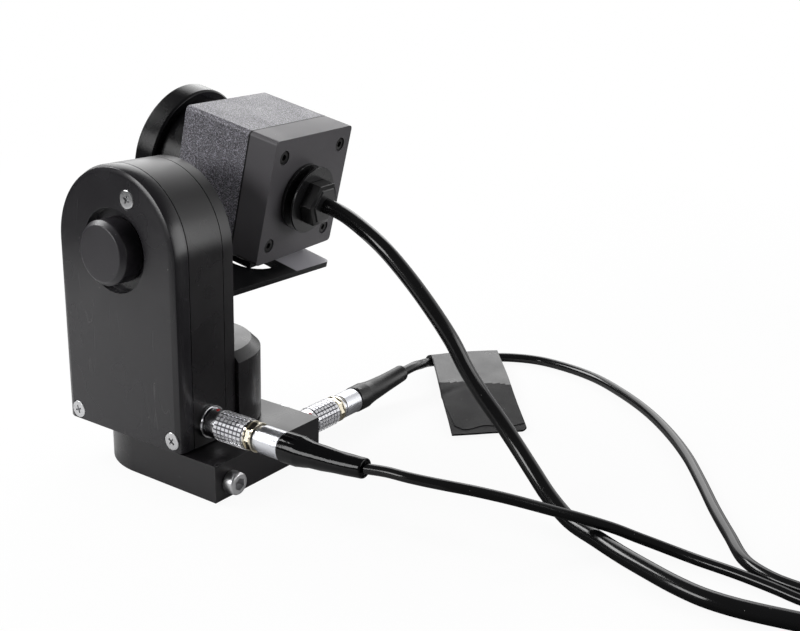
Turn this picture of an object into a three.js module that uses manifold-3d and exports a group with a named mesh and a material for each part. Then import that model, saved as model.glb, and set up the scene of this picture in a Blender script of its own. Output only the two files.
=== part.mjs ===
import * as THREE from "three";
import Module from "manifold-3d";

const wasm = await Module();
wasm.setup();

// Shared clearances and facets
const CLEAR = 0.3;
const SEAT = 0.05;
const FACETS_SMALL = 12;
const FACETS = 16;
const FACETS_ARCH = 24;
const FACETS_LARGE = 36;
const FACETS_HEX = 6;
const FACETS_EDGE = 2;
const FACETS_BORE = 8;
const JOIN_LAP = 1;
const OVERCUT = 2;
const WELD = 0.0001;

// Base, with its square end on +X and its round end about the pan axis
const BASE_WIDTH = 48.5;
const BASE_HEIGHT = 11.8;
const BASE_END = 35.3;
const BASE_RADIUS = BASE_WIDTH / 2;
const COVER_PLATE = 1.2;
const RECESS_DEPTH = COVER_PLATE + CLEAR;
const RECESS_FROM = 11;
const RECESS_TO = 33;
const RECESS_HALF = 16;
const POCKET_FROM = 15.5;
const POCKET_TO = 28.5;
const POCKET_HALF = 13;
const POCKET_ROOF = 9.3;
const CHANNEL_FROM = -3;
const CHANNEL_HALF = 3;
const CHANNEL_FLOOR = 3.5;
const FOOT_SEAT = 7;

// Side screws of the base, M4 with a socket
const SIDE_SCREW_HEAD = 3.5;
const SIDE_SCREW_HEIGHT = 3.9;
const SIDE_SCREW_ROUND = 0.9;
const SIDE_SCREW_SHANK = 2;
const SIDE_SCREW_LENGTH = 7.5;
const SIDE_SCREW_SOCKET = 1.75;
const SIDE_SCREW_SOCKET_DEPTH = 2.2;
const END_SCREW_Y = -18;
const END_SCREW_Z = 5.1;
const BACK_SCREW_X = 17.7;
const BACK_SCREW_Z = 7.3;

// Pan spindle, its ring gear and its bearings
const SPINDLE_FOOT = 10;
const SPINDLE_FOOT_TOP = 10;
const SPINDLE_SHARE = 0.5845;
const SPINDLE_WALL = 1.5;
const SPINDLE_TOP = 34;
const BOSS_SHARE = 0.3755;
const BOSS_BORE_SHARE = 0.3249;
const BOSS_TOP = 27.5;
const BEARING_WIDTH = 3.5;
const BEARING_GROOVE = 0.5;
const BEARING_LOW = 13;
const BEARING_HIGH = 22.5;
const GEAR_LOW = 29;
const GEAR_HIGH = 33;
const SUN_TEETH = 24;
const PAN_PINION_TEETH = 13;
const GEAR_ADD = 0.5;
const GEAR_DED = 0.85;
const GEAR_SPREAD = 0.12;
const TOOTH_ROOT_SHARE = 0.29;
const TOOTH_TIP_SHARE = 0.12;

// Pan turntable and can
const PAN_RADIUS = 23.7;
const TURNTABLE_LOW = 12.25;
const TURNTABLE_TOP = 14.9;
const CAN_WALL = 2;
const CAN_TOP = 38;
const CAN_CHAMFER = 2.9;
const CAN_ROOF = 3;
const CAN_FRONT = -1.05;
const PAN_MOTOR_GAP = 0.6;
const PAN_MOTOR_TOP = 27;
const MOTOR_SHAFT = 1.4;
const PINION_BORE = 1.7;

// Tilt housing: side walls, arch and its two bolted covers
const HOUSE_X = -3.08;
const HOUSE_HALF = 25.44;
const HOUSE_LOW = 12.25;
const TILT_Z = 71.1;
const HOUSE_FRONT = -25.2;
const HOUSE_SEAM = -19.6;
const HOUSE_REAR_SEAM = -5.65;
const HOUSE_REAR = -1.35;
const HOUSE_WALL = 3;
const HOUSE_FILLET = 2.5;
const HOUSE_FILLET_STEPS = 2;
const NOTCH_GAP = 2.4;
const NOTCH_TOP = 34.4;
const POST_RADIUS = 3.2;
const POST_PLACES = [[3.5, 87.3], [-23.6, 15.3], [18.5, 15.7]];
const SHORT_POST_REACH = 2.9;
const WEB_HALF = 2;
const WEB_RISE = 7;
const FRONT_SCREW_HEAD = 2.8;
const FRONT_SCREW_SHANK = 1.5;
const FRONT_SCREW_LENGTHS = [22, 22, 8.2];
const CROSS_LENGTH = 2.6;
const CROSS_WIDTH = 0.6;
const CROSS_DEPTH = 1;
const CAP_WELL_RADIUS = 13;
const CAP_WELL_DEPTH = 2.75;

// Tilt shaft with its cap, gear train and bearings
const SHAFT_RADIUS = 4;
const CAP_RADIUS = 9.9;
const CAP_FACE_RADIUS = 8.47;
const CAP_FRONT = -30.4;
const CAP_RIM = -29;
const CAP_BACK = -22.75;
const CAP_BORE_DEPTH = 3.5;
const SHAFT_FRONT = -25.9;
const HUB_RADIUS = 8.5;
const HUB_FROM = -0.95;
const HUB_TO = 1.4;
const TILT_BEARING_OUTER = 7.5;
const TILT_BEARING_WIDTH = 2.1;
const FRONT_BEARING_Y = -22.15;
const REAR_BEARING_Y = -5.1;
const TILT_GEAR_FROM = -17.5;
const TILT_GEAR_TO = -13.5;
const TILT_GEAR_PITCH = 9;
const TILT_GEAR_TEETH = 24;
const TILT_PINION_PITCH = 4.5;
const TILT_PINION_TEETH = 12;
const TILT_MOTOR_RADIUS = 5.5;
const TILT_MOTOR_LOW = 35.5;
const TILT_MOTOR_TOP = 50;
const TILT_MOTOR_Y = -12.4;
const TILT_BOX_HALF = 8;
const TILT_BOX_TOP = 60.5;
const TILT_BOX_FRONT = -12.9;
const TILT_BOX_BACK = -6.1;
const BOARD_X = -21.5;
const BOARD_THICK = 1.6;
const BOARD_FRONT = -18.6;
const BOARD_BACK = -5.8;
const BOARD_LOW = 20;
const BOARD_TOP = 64;
const CHIP_HEIGHT = 1.5;
const CHIP_WIDTH = 6;
const CHIP_PLACES = [26, 38, 50];
const CHIP_LENGTH = 8;

// Push-pull receptacles and plugs, measured along their axis from the face
const HEAD_PLUG_Y = -12.6;
const HEAD_PLUG_Z = 19.2;
const BASE_PLUG_X = 26.6;
const BASE_PLUG_Z = 6;
const FLANGE_RADIUS = 5.2;
const FLANGE_OUT = 1.2;
const TAIL_RADIUS = 3.6;
const TAIL_DEPTH = 10;
const SOCKET_RADIUS = 2.8;
const SOCKET_DEPTH = 6;
const PRONG_RADIUS = 2.5;
const PRONG_DEPTH = 4;
const SLEEVE_START = 1.5;
const SLEEVE_FRONT_RADIUS = 4.6;
const SLEEVE_STEP = 5.6;
const SLEEVE_RADIUS = 4.75;
const SLEEVE_END = 17;
const RING_RADIUS = 4.55;
const RING_END = 20.2;
const CORE_RADIUS = 3.9;
const CORE_START = 1.6;
const BOOT_START = 30;
const BOOT_COLLAR = 4.6;
const BOOT_COLLAR_LENGTH = 6;
const BOOT_WAIST = 3.9;
const BOOT_WAIST_AT = 10;
const BOOT_NECK = 2.95;
const BOOT_RIM = 3.2;
const BOOT_RIM_AT = 25.4;
const BOOT_LENGTH = 27.3;
const BOOT_TAPER_STEPS = 2;
const HEAD_BOOT_SHIFT = [0, 2.3, 0.2];
const BASE_BOOT_SHIFT = [2, 0, 2.8];

// Camera frame: lens up by the tilt angle, a small yaw on its one screw
const LENS_UP = 0.228;
const CAMERA_YAW = 0.0801;
const CAMERA_AHEAD = 0.13;
const CAMERA_NEAR = 15.4;
const CAMERA_HALF = 21;
const FOOT_HEIGHT = 2.96;
const CAMERA_HALF_LENGTH = 18.2;
const CAMERA_WALL = 2.5;
const CAMERA_EDGE = 1.4;
const REAR_CAP_DEPTH = 10.6;
const REAR_CAP_WALL = 3;
const CAP_SCREW_IN_Y = 5.5;
const CAP_SCREW_IN_Z = 6;
const CAP_SCREW_HEAD = 2.1;
const CAP_SCREW_SINK = 2.3;
const CAP_SCREW_SHANK = 1.2;
const CAP_SCREW_LENGTH = 12.5;
const CAP_SCREW_SOCKET = 1.15;
const CAP_SCREW_SOCKET_DEPTH = 1;
const CORNER_POST = 7.6;
const LENS_OFFSET_Y = -0.65;
const LENS_OFFSET_Z = -1.5;
const BARREL_RADIUS = 19.4;
const BARREL_BORE = 13.5;
const BARREL_SPIGOT = 15.5;
const BARREL_SPIGOT_DEPTH = 5;
const RING_FRONT = -35.4;
const RING_BACK = -27.7;
const LENS_RING_RADIUS = 22.3;
const LENS_RING_BEVEL = 0.6;
const LENS_RING_CONE = 2.4;
const LENS_RING_BORE = 15.5;
const LENS_RING_BORE_FRONT = 18;
const GLASS_RADIUS = 13.1;
const GLASS_FRONT = -31.6;
const GLASS_CROWN = 1.9;
const GLASS_THICK = 5;
const GLASS_STEPS = 5;
const GLAND_Y = -2.35;
const GLAND_Z = 0.2;
const GLAND_FLANGE = 10.9;
const GLAND_FLANGE_THICK = 1.2;
const GLAND_NECK = 5.5;
const GLAND_WASHER = 11.2;
const WASHER_START = 4.2;
const WASHER_END = 5;
const GLAND_NUT_RADIUS = 7.8;
const GLAND_NUT_START = 5.1;
const GLAND_NUT_END = 9.2;
const GLAND_THREAD_END = 8.2;
const GLAND_LIP_RADIUS = 5;
const GLAND_LIP_END = 10;
const GLAND_BORE = 2.8;
const GLAND_THREAD = 4.2;

// Camera bracket: a plate under the camera and an upright on the tilt hub
const PLATE_TOP = -9.1;
const PLATE_THICK = 1.9;
const PLATE_FRONT = -14;
const PLATE_REAR = 24.7;
const PLATE_NEAR = 1.5;
const PLATE_FAR = 50;
const PLATE_CORNER = 1.8;
const UPRIGHT_HALF = 12.5;
const UPRIGHT_TOP = 11.5;
const WINDOW_FROM = -0.2;
const WINDOW_TO = 18.6;
const WINDOW_NEAR = 17.6;
const WINDOW_FAR = 30;
const HUB_SCREW_HEAD = 2.75;
const HUB_SCREW_HEIGHT = 2.2;
const HUB_SCREW_ROUND = 0.4;
const HUB_SCREW_SHANK = 1.5;
const HUB_SCREW_LENGTH = 8;
const HUB_SCREW_SOCKET = 1.4;
const HUB_SCREW_SOCKET_DEPTH = 1.2;
const SLOT_X = -6.5;
const SLOT_HALF = 3.5;
const SLOT_NEARWARD = 7.4;
const SLOT_FARWARD = 6.6;
const FOOT_FRONT = -12;
const FOOT_REAR = 14.2;
const FOOT_NEAR = -18.5;
const FOOT_FAR = 12;
const CAMERA_SCREW_SHANK = 3.1;
const CAMERA_SCREW_HEAD = 6.5;
const CAMERA_SCREW_HEIGHT = 3;
const CAMERA_SCREW_GRIP = 1.8;

// Leads: radii, route points and coils
const CAMERA_LEAD = 2.5;
const HEAD_LEAD = 1.55;
const BASE_LEAD = 1.8;
const CORD_SIDES = 8;
const CORD_GAP = 0.5;
const CORD_LEAD_IN = 3;
const CAMERA_ROUTE = [
  [36.2, 35.8, 77.5], [43.2, 34.2, 75.3], [53, 32.6, 70.8],
  [60.8, 32.6, 64.8], [70, 33.2, 55.8], [78.7, 34.6, 44.9], [83.5, 35.6, 36.9],
  [89.1, 36.5, 29.4], [95.4, 36.9, 22.7], [102.1, 36.1, 16.4], [109.3, 33.9, 10.8],
  [117.1, 30.4, 6.1], [126.2, 26.2, 3], [135.7, 22.4, 2.6], [145.3, 18.3, 2.6],
  [154.2, 15.2, 2.6], [162.7, 12.6, 2.6], [170.7, 11.2, 2.6], [178.1, 11.5, 2.6],
  [185.2, 12.8, 2.6], [192, 14.5, 2.6], [204, 16.8, 3],
];
const HEAD_ROUTE = [
  [85.8, -8.9, 19.7], [92.2, -7.9, 19.6], [98, -6.2, 19.3], [103.8, -4.4, 19.1],
  [108.5, -1, 18], [113, 2.8, 16.5], [117.3, 6.9, 14.7], [121.7, 11.1, 12.7],
  [126.1, 15.2, 10.7], [130.7, 19.2, 8.8], [135.5, 22.6, 7.1], [140.5, 25.5, 5.5],
  [145.7, 27.6, 3.9], [151.2, 29, 2.8], [156.8, 29.8, 2], [162.5, 30, 1.6],
  [173.9, 29.6, 1.6], [184.8, 28.3, 1.6], [190.1, 27.3, 1.6], [210, 25.6, 2],
  [235, 25.4, 2.6],
];
const BASE_ROUTE = [
  [28.4, 89.3, 8.9], [25.4, 99.5, 6.3], [22.6, 109, 3.8], [23.1, 115.8, 2.4],
  [25.4, 121.2, 2], [32.6, 130, 2], [41.9, 138.5, 2], [53.2, 143.3, 2],
  [66.5, 143.2, 2], [80.7, 139.5, 2], [95.4, 131.3, 2], [109.8, 120.6, 2],
  [123.4, 107.3, 2], [135.8, 92.3, 2], [146.7, 76.1, 2], [156.4, 60.9, 2],
  [165.4, 47.9, 2], [173.7, 36.7, 2], [181.9, 32.5, 2], [189.5, 31.6, 2],
  [199, 31.2, 2.3],
];
const CAMERA_STEPS = 22;
const HEAD_STEPS = 22;
const BASE_STEPS = 34;
const LOOP_STEPS = 24;
const LOOP_SIDES = 6;
const COIL_SPACE = 0.62;
const TIE_THICK = 0.8;
const TIE_WIDTH = 7;
const TIE_CLEAR = 0.4;
const CAMERA_COIL = { x: 240, y: -16, mid: 27.5, loops: 2, layers: 2, start: 90, turn: -1 };
const HEAD_COIL = { x: 273, y: 49.1, mid: 18, loops: 3, layers: 2, start: -90, turn: 1 };
const BASE_COIL = { x: 219, y: 55.2, mid: 20, loops: 2, layers: 2, start: -90, turn: 1 };
const EXTRA_TURN_SHARE = 0.25;
const TAIL_LENGTH = 20;
const TAIL_SHARES = [0.35, 0.75, 1];
const CLIMB_SHARE = 0.25;
const GAP_SHARE = 0.34;
const END_PLUG_HEIGHT = 4.9;
const END_PLUG_RADIUS = 4.75;
const END_PLUG_NECK = 3.9;
const END_PLUG_BOOT = 12;
const END_PLUG_SHELL = 24;
const END_PLUG_LENGTH = 33;
const END_PLUG_FRONT = 3.2;

// Tape flag folded over the base lead and lying forward on the floor
const FLAG_THICK = 0.7;
const FLAG_FROM = [22.2, 111.5];
const FLAG_TO = [38, 135.8];
const FLAG_HEADING_LEFT = -55.5;
const FLAG_HEADING_RIGHT = -51.4;
const FLAG_LIFT = 0.15;
const FLAG_LOOP = BASE_LEAD + CLEAR * 2;
const FLAG_LEVEL = 2;
const FLAG_ARC_STEPS = 5;
const FLAG_TOUCH = 7;
const FLAG_RUN = 62.6;
const FLAG_RIGHT_SHARE = 1.042;
const FLAG_RUN_STEPS = 3;
const FLAG_STEPS = 5;
const FLAG_SAMPLES = 400;

const HALF_TURN = Math.PI;
const QUARTER = Math.PI / 2;
const FULL_TURN = Math.PI * 2;
const DEGREES = Math.PI / 180;

const part = new THREE.Group();
part.name = "remote_pan_tilt_head";

// Geometry helpers
function toManifold(geometry) {
  const plain = geometry.clone();
  plain.deleteAttribute("normal");
  plain.deleteAttribute("uv");
  const merged = weld(plain);
  return new wasm.Manifold(new wasm.Mesh({
    numProp: 3,
    vertProperties: Float32Array.from(merged.getAttribute("position").array),
    triVerts: Uint32Array.from(merged.index.array),
  }));
}

function weld(geometry) {
  const position = geometry.getAttribute("position");
  const order = geometry.index ? Array.from(geometry.index.array)
    : Array.from({ length: position.count }, (_, i) => i);
  const seen = new Map();
  const points = [];
  const renumber = [];
  for (let i = 0; i < position.count; i += 1) {
    const xyz = [position.getX(i), position.getY(i), position.getZ(i)];
    const key = xyz.map((v) => Math.round(v / WELD)).join(",");
    if (!seen.has(key)) {
      seen.set(key, points.length / 3);
      points.push(...xyz);
    }
    renumber.push(seen.get(key));
  }
  const faces = [];
  for (let i = 0; i < order.length; i += 3) {
    const [a, b, c] = [renumber[order[i]], renumber[order[i + 1]], renumber[order[i + 2]]];
    if (a !== b && b !== c && a !== c) {
      faces.push(a, b, c);
    }
  }
  const out = new THREE.BufferGeometry();
  out.setAttribute("position", new THREE.Float32BufferAttribute(points, 3));
  out.setIndex(faces);
  return out;
}

function fromManifold(body) {
  const mesh = body.getMesh();
  const out = new THREE.BufferGeometry();
  const flat = new Float32Array(mesh.numVert * 3);
  for (let i = 0; i < mesh.numVert; i += 1) {
    for (let k = 0; k < 3; k += 1) {
      flat[i * 3 + k] = mesh.vertProperties[i * mesh.numProp + k];
    }
  }
  out.setAttribute("position", new THREE.BufferAttribute(flat, 3));
  out.setIndex(Array.from(mesh.triVerts));
  return out;
}

function cut(geometry, ...tools) {
  let body = toManifold(geometry);
  for (const tool of tools) {
    body = body.subtract(toManifold(tool));
  }
  return fromManifold(body);
}

function join(geometry, ...others) {
  let body = toManifold(geometry);
  for (const other of others) {
    body = body.add(toManifold(other));
  }
  return fromManifold(body);
}

function common(geometry, other) {
  return fromManifold(toManifold(geometry).intersect(toManifold(other)));
}

// Box from its limits on the three axes
function block(xs, ys, zs) {
  const box = new THREE.BoxGeometry(xs[1] - xs[0], ys[1] - ys[0], zs[1] - zs[0]);
  box.translate((xs[0] + xs[1]) / 2, (ys[0] + ys[1]) / 2, (zs[0] + zs[1]) / 2);
  return box;
}

// Turned body about Z from radius and height pairs
function turned(profile, facets = FACETS) {
  const points = profile.map(([r, z]) => new THREE.Vector2(r, z));
  const lathe = new THREE.LatheGeometry(points, facets);
  lathe.rotateX(QUARTER);
  return orient(lathe);
}

// Faces out whichever way the profile runs
function orient(geometry) {
  const merged = weld(geometry);
  const p = merged.getAttribute("position");
  const f = merged.index.array;
  let volume = 0;
  const [a, b, c] = [new THREE.Vector3(), new THREE.Vector3(), new THREE.Vector3()];
  for (let i = 0; i < f.length; i += 3) {
    a.fromBufferAttribute(p, f[i]);
    b.fromBufferAttribute(p, f[i + 1]);
    c.fromBufferAttribute(p, f[i + 2]);
    volume += a.dot(b.cross(c));
  }
  if (volume < 0) {
    const flipped = Array.from(f);
    for (let i = 0; i < flipped.length; i += 3) {
      [flipped[i], flipped[i + 1]] = [flipped[i + 1], flipped[i]];
    }
    merged.setIndex(flipped);
  }
  return merged;
}

function rod(radius, from, to, facets = FACETS) {
  return turned([[0, from], [radius, from], [radius, to], [0, to]], facets);
}

// Turns the local Z axis to a named direction and moves the body there
function along(geometry, direction, place) {
  if (direction === "+x") {
    geometry.rotateY(QUARTER);
  } else if (direction === "-x") {
    geometry.rotateY(-QUARTER);
  } else if (direction === "+y") {
    geometry.rotateX(-QUARTER);
  } else if (direction === "-y") {
    geometry.rotateX(QUARTER);
  } else if (direction === "-z") {
    geometry.rotateX(HALF_TURN);
  }
  geometry.translate(...place);
  return geometry;
}

function prism(shape, from, to, options = {}) {
  const body = new THREE.ExtrudeGeometry(shape, {
    depth: to - from, bevelEnabled: false, curveSegments: FACETS_BORE, ...options,
  });
  body.translate(0, 0, from);
  return body;
}

// Outline in X and Z, extruded along Y between two places
function slab(shape, from, to, options = {}) {
  const body = prism(shape, -to, -from, options);
  body.rotateX(QUARTER);
  return body;
}

function add(name, geometry) {
  const mesh = new THREE.Mesh(geometry, new THREE.MeshStandardMaterial());
  mesh.name = name;
  part.add(mesh);
}

// Countersunk screw with its head face at zero, going along +Z
function sunkScrew(head, shank, length, crossed) {
  const neck = head - shank;
  const screw = turned([[0, SEAT], [head, SEAT], [shank, neck], [shank, length], [0, length]],
    FACETS_SMALL);
  if (!crossed) {
    return screw;
  }
  const half = CROSS_LENGTH / 2;
  const thin = CROSS_WIDTH / 2;
  return cut(screw, block([-half, half], [-thin, thin], [-OVERCUT, CROSS_DEPTH]),
    block([-thin, thin], [-half, half], [-OVERCUT, CROSS_DEPTH]));
}

function sunkHole(head, shank, length) {
  const wide = head + CLEAR;
  const slim = shank + CLEAR;
  return turned([[0, -OVERCUT], [wide, -OVERCUT], [wide, 0], [slim, wide - slim],
    [slim, length + CLEAR], [0, length + CLEAR]], FACETS_SMALL);
}

// Socket screw with its seat at zero, head toward minus Z
function socketScrew(head, height, round, shank, length, socket, depth) {
  const screw = turned([[0, -height], [head - round, -height], [head, round - height],
    [head, -SEAT], [shank, -SEAT], [shank, length], [0, length]], FACETS);
  const key = turned([[0, -height - OVERCUT], [socket, -height - OVERCUT],
    [socket, depth - height], [0, depth - height]], FACETS_HEX);
  return cut(screw, key);
}

// Gear outline with straight-sided teeth and a bore
function gearShape(pitch, teeth, bore, phase) {
  const shape = new THREE.Shape();
  const step = FULL_TURN / teeth;
  for (let i = 0; i < teeth; i += 1) {
    const centre = phase + i * step;
    const corners = [
      [pitch - GEAR_DED, -TOOTH_ROOT_SHARE], [pitch + GEAR_ADD, -TOOTH_TIP_SHARE],
      [pitch + GEAR_ADD, TOOTH_TIP_SHARE], [pitch - GEAR_DED, TOOTH_ROOT_SHARE],
    ];
    for (const [radius, share] of corners) {
      const angle = centre + share * step;
      const [x, y] = [radius * Math.cos(angle), radius * Math.sin(angle)];
      if (i === 0 && share === -TOOTH_ROOT_SHARE) {
        shape.moveTo(x, y);
      } else {
        shape.lineTo(x, y);
      }
    }
  }
  shape.closePath();
  const hole = new THREE.Path();
  hole.absarc(0, 0, bore, 0, FULL_TURN, true);
  shape.holes.push(hole);
  return shape;
}

// Base body
const baseShape = new THREE.Shape();
baseShape.moveTo(BASE_END, -BASE_RADIUS);
baseShape.lineTo(BASE_END, BASE_RADIUS);
baseShape.lineTo(0, BASE_RADIUS);
baseShape.absarc(0, 0, BASE_RADIUS, QUARTER, 3 * QUARTER, false);
baseShape.closePath();
const endHole = along(rod(SIDE_SCREW_SHANK + CLEAR, -SIDE_SCREW_LENGTH - CLEAR, OVERCUT), "+x",
  [BASE_END, END_SCREW_Y, END_SCREW_Z]);
const backHole = along(rod(SIDE_SCREW_SHANK + CLEAR, -SIDE_SCREW_LENGTH - CLEAR, OVERCUT), "+y",
  [BACK_SCREW_X, BASE_RADIUS, BACK_SCREW_Z]);
const tailHole = along(rod(TAIL_RADIUS + CLEAR, POCKET_HALF - BASE_RADIUS - OVERCUT, OVERCUT), "+y",
  [BASE_PLUG_X, BASE_RADIUS, BASE_PLUG_Z]);
add("base_plate", cut(
  prism(baseShape, 0, BASE_HEIGHT, { curveSegments: FACETS_ARCH }),
  block([RECESS_FROM, RECESS_TO], [-RECESS_HALF, RECESS_HALF], [-OVERCUT, RECESS_DEPTH]),
  block([POCKET_FROM, POCKET_TO], [-POCKET_HALF, POCKET_HALF], [-OVERCUT, POCKET_ROOF]),
  block([CHANNEL_FROM, POCKET_FROM + OVERCUT], [-CHANNEL_HALF, CHANNEL_HALF],
    [CHANNEL_FLOOR, FOOT_SEAT + SEAT]),
  rod(SPINDLE_FOOT + CLEAR, FOOT_SEAT, BASE_HEIGHT + OVERCUT, FACETS_LARGE),
  endHole, backHole, tailHole,
));
add("base_cover_plate", block([RECESS_FROM + CLEAR, RECESS_TO - CLEAR],
  [CLEAR - RECESS_HALF, RECESS_HALF - CLEAR], [0, COVER_PLATE]));
const sideScrew = () => socketScrew(SIDE_SCREW_HEAD, SIDE_SCREW_HEIGHT, SIDE_SCREW_ROUND,
  SIDE_SCREW_SHANK, SIDE_SCREW_LENGTH, SIDE_SCREW_SOCKET, SIDE_SCREW_SOCKET_DEPTH);
add("base_end_screw", along(sideScrew(), "-x", [BASE_END, END_SCREW_Y, END_SCREW_Z]));
add("base_back_screw", along(sideScrew(), "-y", [BACK_SCREW_X, BASE_RADIUS, BACK_SCREW_Z]));

// Pan drive: its boss, gears and motor share the room inside the can
const bossOuter = PAN_RADIUS * BOSS_SHARE;
const bossInner = PAN_RADIUS * BOSS_BORE_SHARE;
const spindleRadius = bossInner * SPINDLE_SHARE;
const spindleBore = spindleRadius - SPINDLE_WALL;
const canRoom = (PAN_RADIUS - CAN_WALL - bossOuter) / 2;
const panPinionY = bossOuter + canRoom;
const panMotorRadius = canRoom - PAN_MOTOR_GAP;
const panPitchSum = panPinionY - GEAR_SPREAD;
const sunPitch = panPitchSum * SUN_TEETH / (SUN_TEETH + PAN_PINION_TEETH);
const panPinionPitch = panPitchSum - sunPitch;

// Spindle, ring gear and bearings of the pan axis
add("pan_spindle", turned([
  [spindleBore, FOOT_SEAT + SEAT], [SPINDLE_FOOT, FOOT_SEAT + SEAT],
  [SPINDLE_FOOT, SPINDLE_FOOT_TOP], [spindleRadius, SPINDLE_FOOT_TOP],
  [spindleRadius, SPINDLE_TOP], [spindleBore, SPINDLE_TOP],
  [spindleBore, FOOT_SEAT + SEAT],
], FACETS));
add("pan_sun_gear", prism(
  gearShape(sunPitch, SUN_TEETH, spindleRadius + CLEAR, QUARTER), GEAR_LOW, GEAR_HIGH));
const panBearingInner = spindleRadius + CLEAR;
const panBearingOuter = bossInner - CLEAR;
const bearingMiddle = (panBearingInner + panBearingOuter) / 2;
add("pan_bearing", turned([
  [panBearingInner, BEARING_LOW], [bearingMiddle, BEARING_LOW],
  [bearingMiddle, BEARING_LOW + BEARING_GROOVE], [panBearingOuter, BEARING_LOW + BEARING_GROOVE],
  [panBearingOuter, BEARING_HIGH + BEARING_WIDTH], [bearingMiddle, BEARING_HIGH + BEARING_WIDTH],
  [bearingMiddle, BEARING_HIGH + BEARING_WIDTH - BEARING_GROOVE],
  [panBearingInner, BEARING_HIGH + BEARING_WIDTH - BEARING_GROOVE],
  [panBearingInner, BEARING_HIGH], [bearingMiddle, BEARING_HIGH],
  [bearingMiddle, BEARING_LOW + BEARING_WIDTH], [panBearingInner, BEARING_LOW + BEARING_WIDTH],
  [panBearingInner, BEARING_LOW],
], FACETS));

// Turntable half disc behind the housing, and the boss of the pan bearing
const behind = block([-PAN_RADIUS * 2, PAN_RADIUS * 2], [CAN_FRONT, PAN_RADIUS * 2],
  [0, CAN_TOP * 2]);
const behindJoin = block([-PAN_RADIUS * 2, PAN_RADIUS * 2], [HOUSE_REAR - JOIN_LAP, PAN_RADIUS * 2],
  [0, CAN_TOP * 2]);
const halfDisc = common(rod(PAN_RADIUS, TURNTABLE_LOW, TURNTABLE_TOP, FACETS_LARGE), behindJoin);
const boss = rod(bossOuter, TURNTABLE_LOW, BOSS_TOP, FACETS);
const bossBore = rod(bossInner, TURNTABLE_LOW - OVERCUT, BOSS_TOP + OVERCUT, FACETS);

// Pan can: curved wall and roof, open toward the housing
const canOuter = turned([[0, TURNTABLE_TOP + SEAT], [PAN_RADIUS, TURNTABLE_TOP + SEAT],
  [PAN_RADIUS, CAN_TOP - CAN_CHAMFER], [PAN_RADIUS - CAN_CHAMFER, CAN_TOP], [0, CAN_TOP]],
  FACETS_LARGE);
const canInner = turned([[0, TURNTABLE_TOP - OVERCUT], [PAN_RADIUS - CAN_WALL,
  TURNTABLE_TOP - OVERCUT], [PAN_RADIUS - CAN_WALL, CAN_TOP - CAN_ROOF - CAN_WALL / 2],
  [PAN_RADIUS - CAN_CHAMFER, CAN_TOP - CAN_ROOF], [0, CAN_TOP - CAN_ROOF]], FACETS_LARGE);
add("pan_cover", common(cut(canOuter, canInner), behind));

// Pan gearmotor with its shaft, and the pinion that walks round the ring gear
const panMotor = turned([[0, TURNTABLE_TOP + SEAT], [panMotorRadius, TURNTABLE_TOP + SEAT],
  [panMotorRadius, PAN_MOTOR_TOP], [MOTOR_SHAFT, PAN_MOTOR_TOP], [MOTOR_SHAFT, GEAR_HIGH],
  [0, GEAR_HIGH]], FACETS);
add("pan_gearmotor", panMotor.translate(0, panPinionY, 0));
const panPinionPhase = -QUARTER + HALF_TURN / PAN_PINION_TEETH;
add("pan_pinion", prism(gearShape(panPinionPitch, PAN_PINION_TEETH, PINION_BORE, panPinionPhase),
  GEAR_LOW, GEAR_HIGH).translate(0, panPinionY, 0));

// Tilt housing outline in X and Z
function houseShape(inset, low) {
  const shape = new THREE.Shape();
  const half = HOUSE_HALF - inset;
  shape.moveTo(HOUSE_X + half, low);
  shape.lineTo(HOUSE_X + half, TILT_Z);
  shape.absarc(HOUSE_X, TILT_Z, half, 0, HALF_TURN, false);
  shape.lineTo(HOUSE_X - half, low);
  shape.closePath();
  return shape;
}
const archOptions = { curveSegments: FACETS_ARCH };
const postEnds = [HOUSE_REAR_SEAM - CLEAR, HOUSE_REAR_SEAM - CLEAR, HOUSE_SEAM + SHORT_POST_REACH];
const posts = POST_PLACES.map(([x, z], i) => along(rod(POST_RADIUS, HOUSE_SEAM + CLEAR,
  postEnds[i], FACETS_SMALL), "+y", [x, 0, z]));
const frontHoles = [];
const frontScrews = [];
for (const [i, [x, z]] of POST_PLACES.entries()) {
  const length = FRONT_SCREW_LENGTHS[i];
  frontHoles.push(along(sunkHole(FRONT_SCREW_HEAD, FRONT_SCREW_SHANK, length),
    "+y", [x, HOUSE_FRONT, z]));
  frontScrews.push(along(sunkScrew(FRONT_SCREW_HEAD, FRONT_SCREW_SHANK, length, true),
    "+y", [x, HOUSE_FRONT, z]));
}
const notch = rod(bossOuter + NOTCH_GAP, 0, NOTCH_TOP, FACETS_LARGE);
const headTailHole = along(rod(TAIL_RADIUS + CLEAR, -HOUSE_WALL - OVERCUT, OVERCUT), "+x",
  [HOUSE_X + HOUSE_HALF, HEAD_PLUG_Y, HEAD_PLUG_Z]);
const houseFrom = HOUSE_SEAM + CLEAR / 2;
const houseTo = HOUSE_REAR_SEAM - CLEAR / 2;
const frame = cut(slab(houseShape(0, HOUSE_LOW), houseFrom, houseTo, archOptions),
  slab(houseShape(HOUSE_WALL, HOUSE_LOW + HOUSE_WALL), houseFrom - OVERCUT, houseTo + OVERCUT,
    archOptions));
const inHouse = slab(houseShape(0, HOUSE_LOW), houseFrom, houseTo, archOptions);
const [topX, topZ] = POST_PLACES[0];
const web = block([topX - WEB_HALF, topX + WEB_HALF], [houseFrom, houseTo],
  [topZ, topZ + WEB_RISE]);
const heldPosts = posts.map((post) => common(post, inHouse));
add("tilt_housing_body", cut(join(frame, web, ...heldPosts), notch, headTailHole,
  ...frontHoles));

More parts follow.
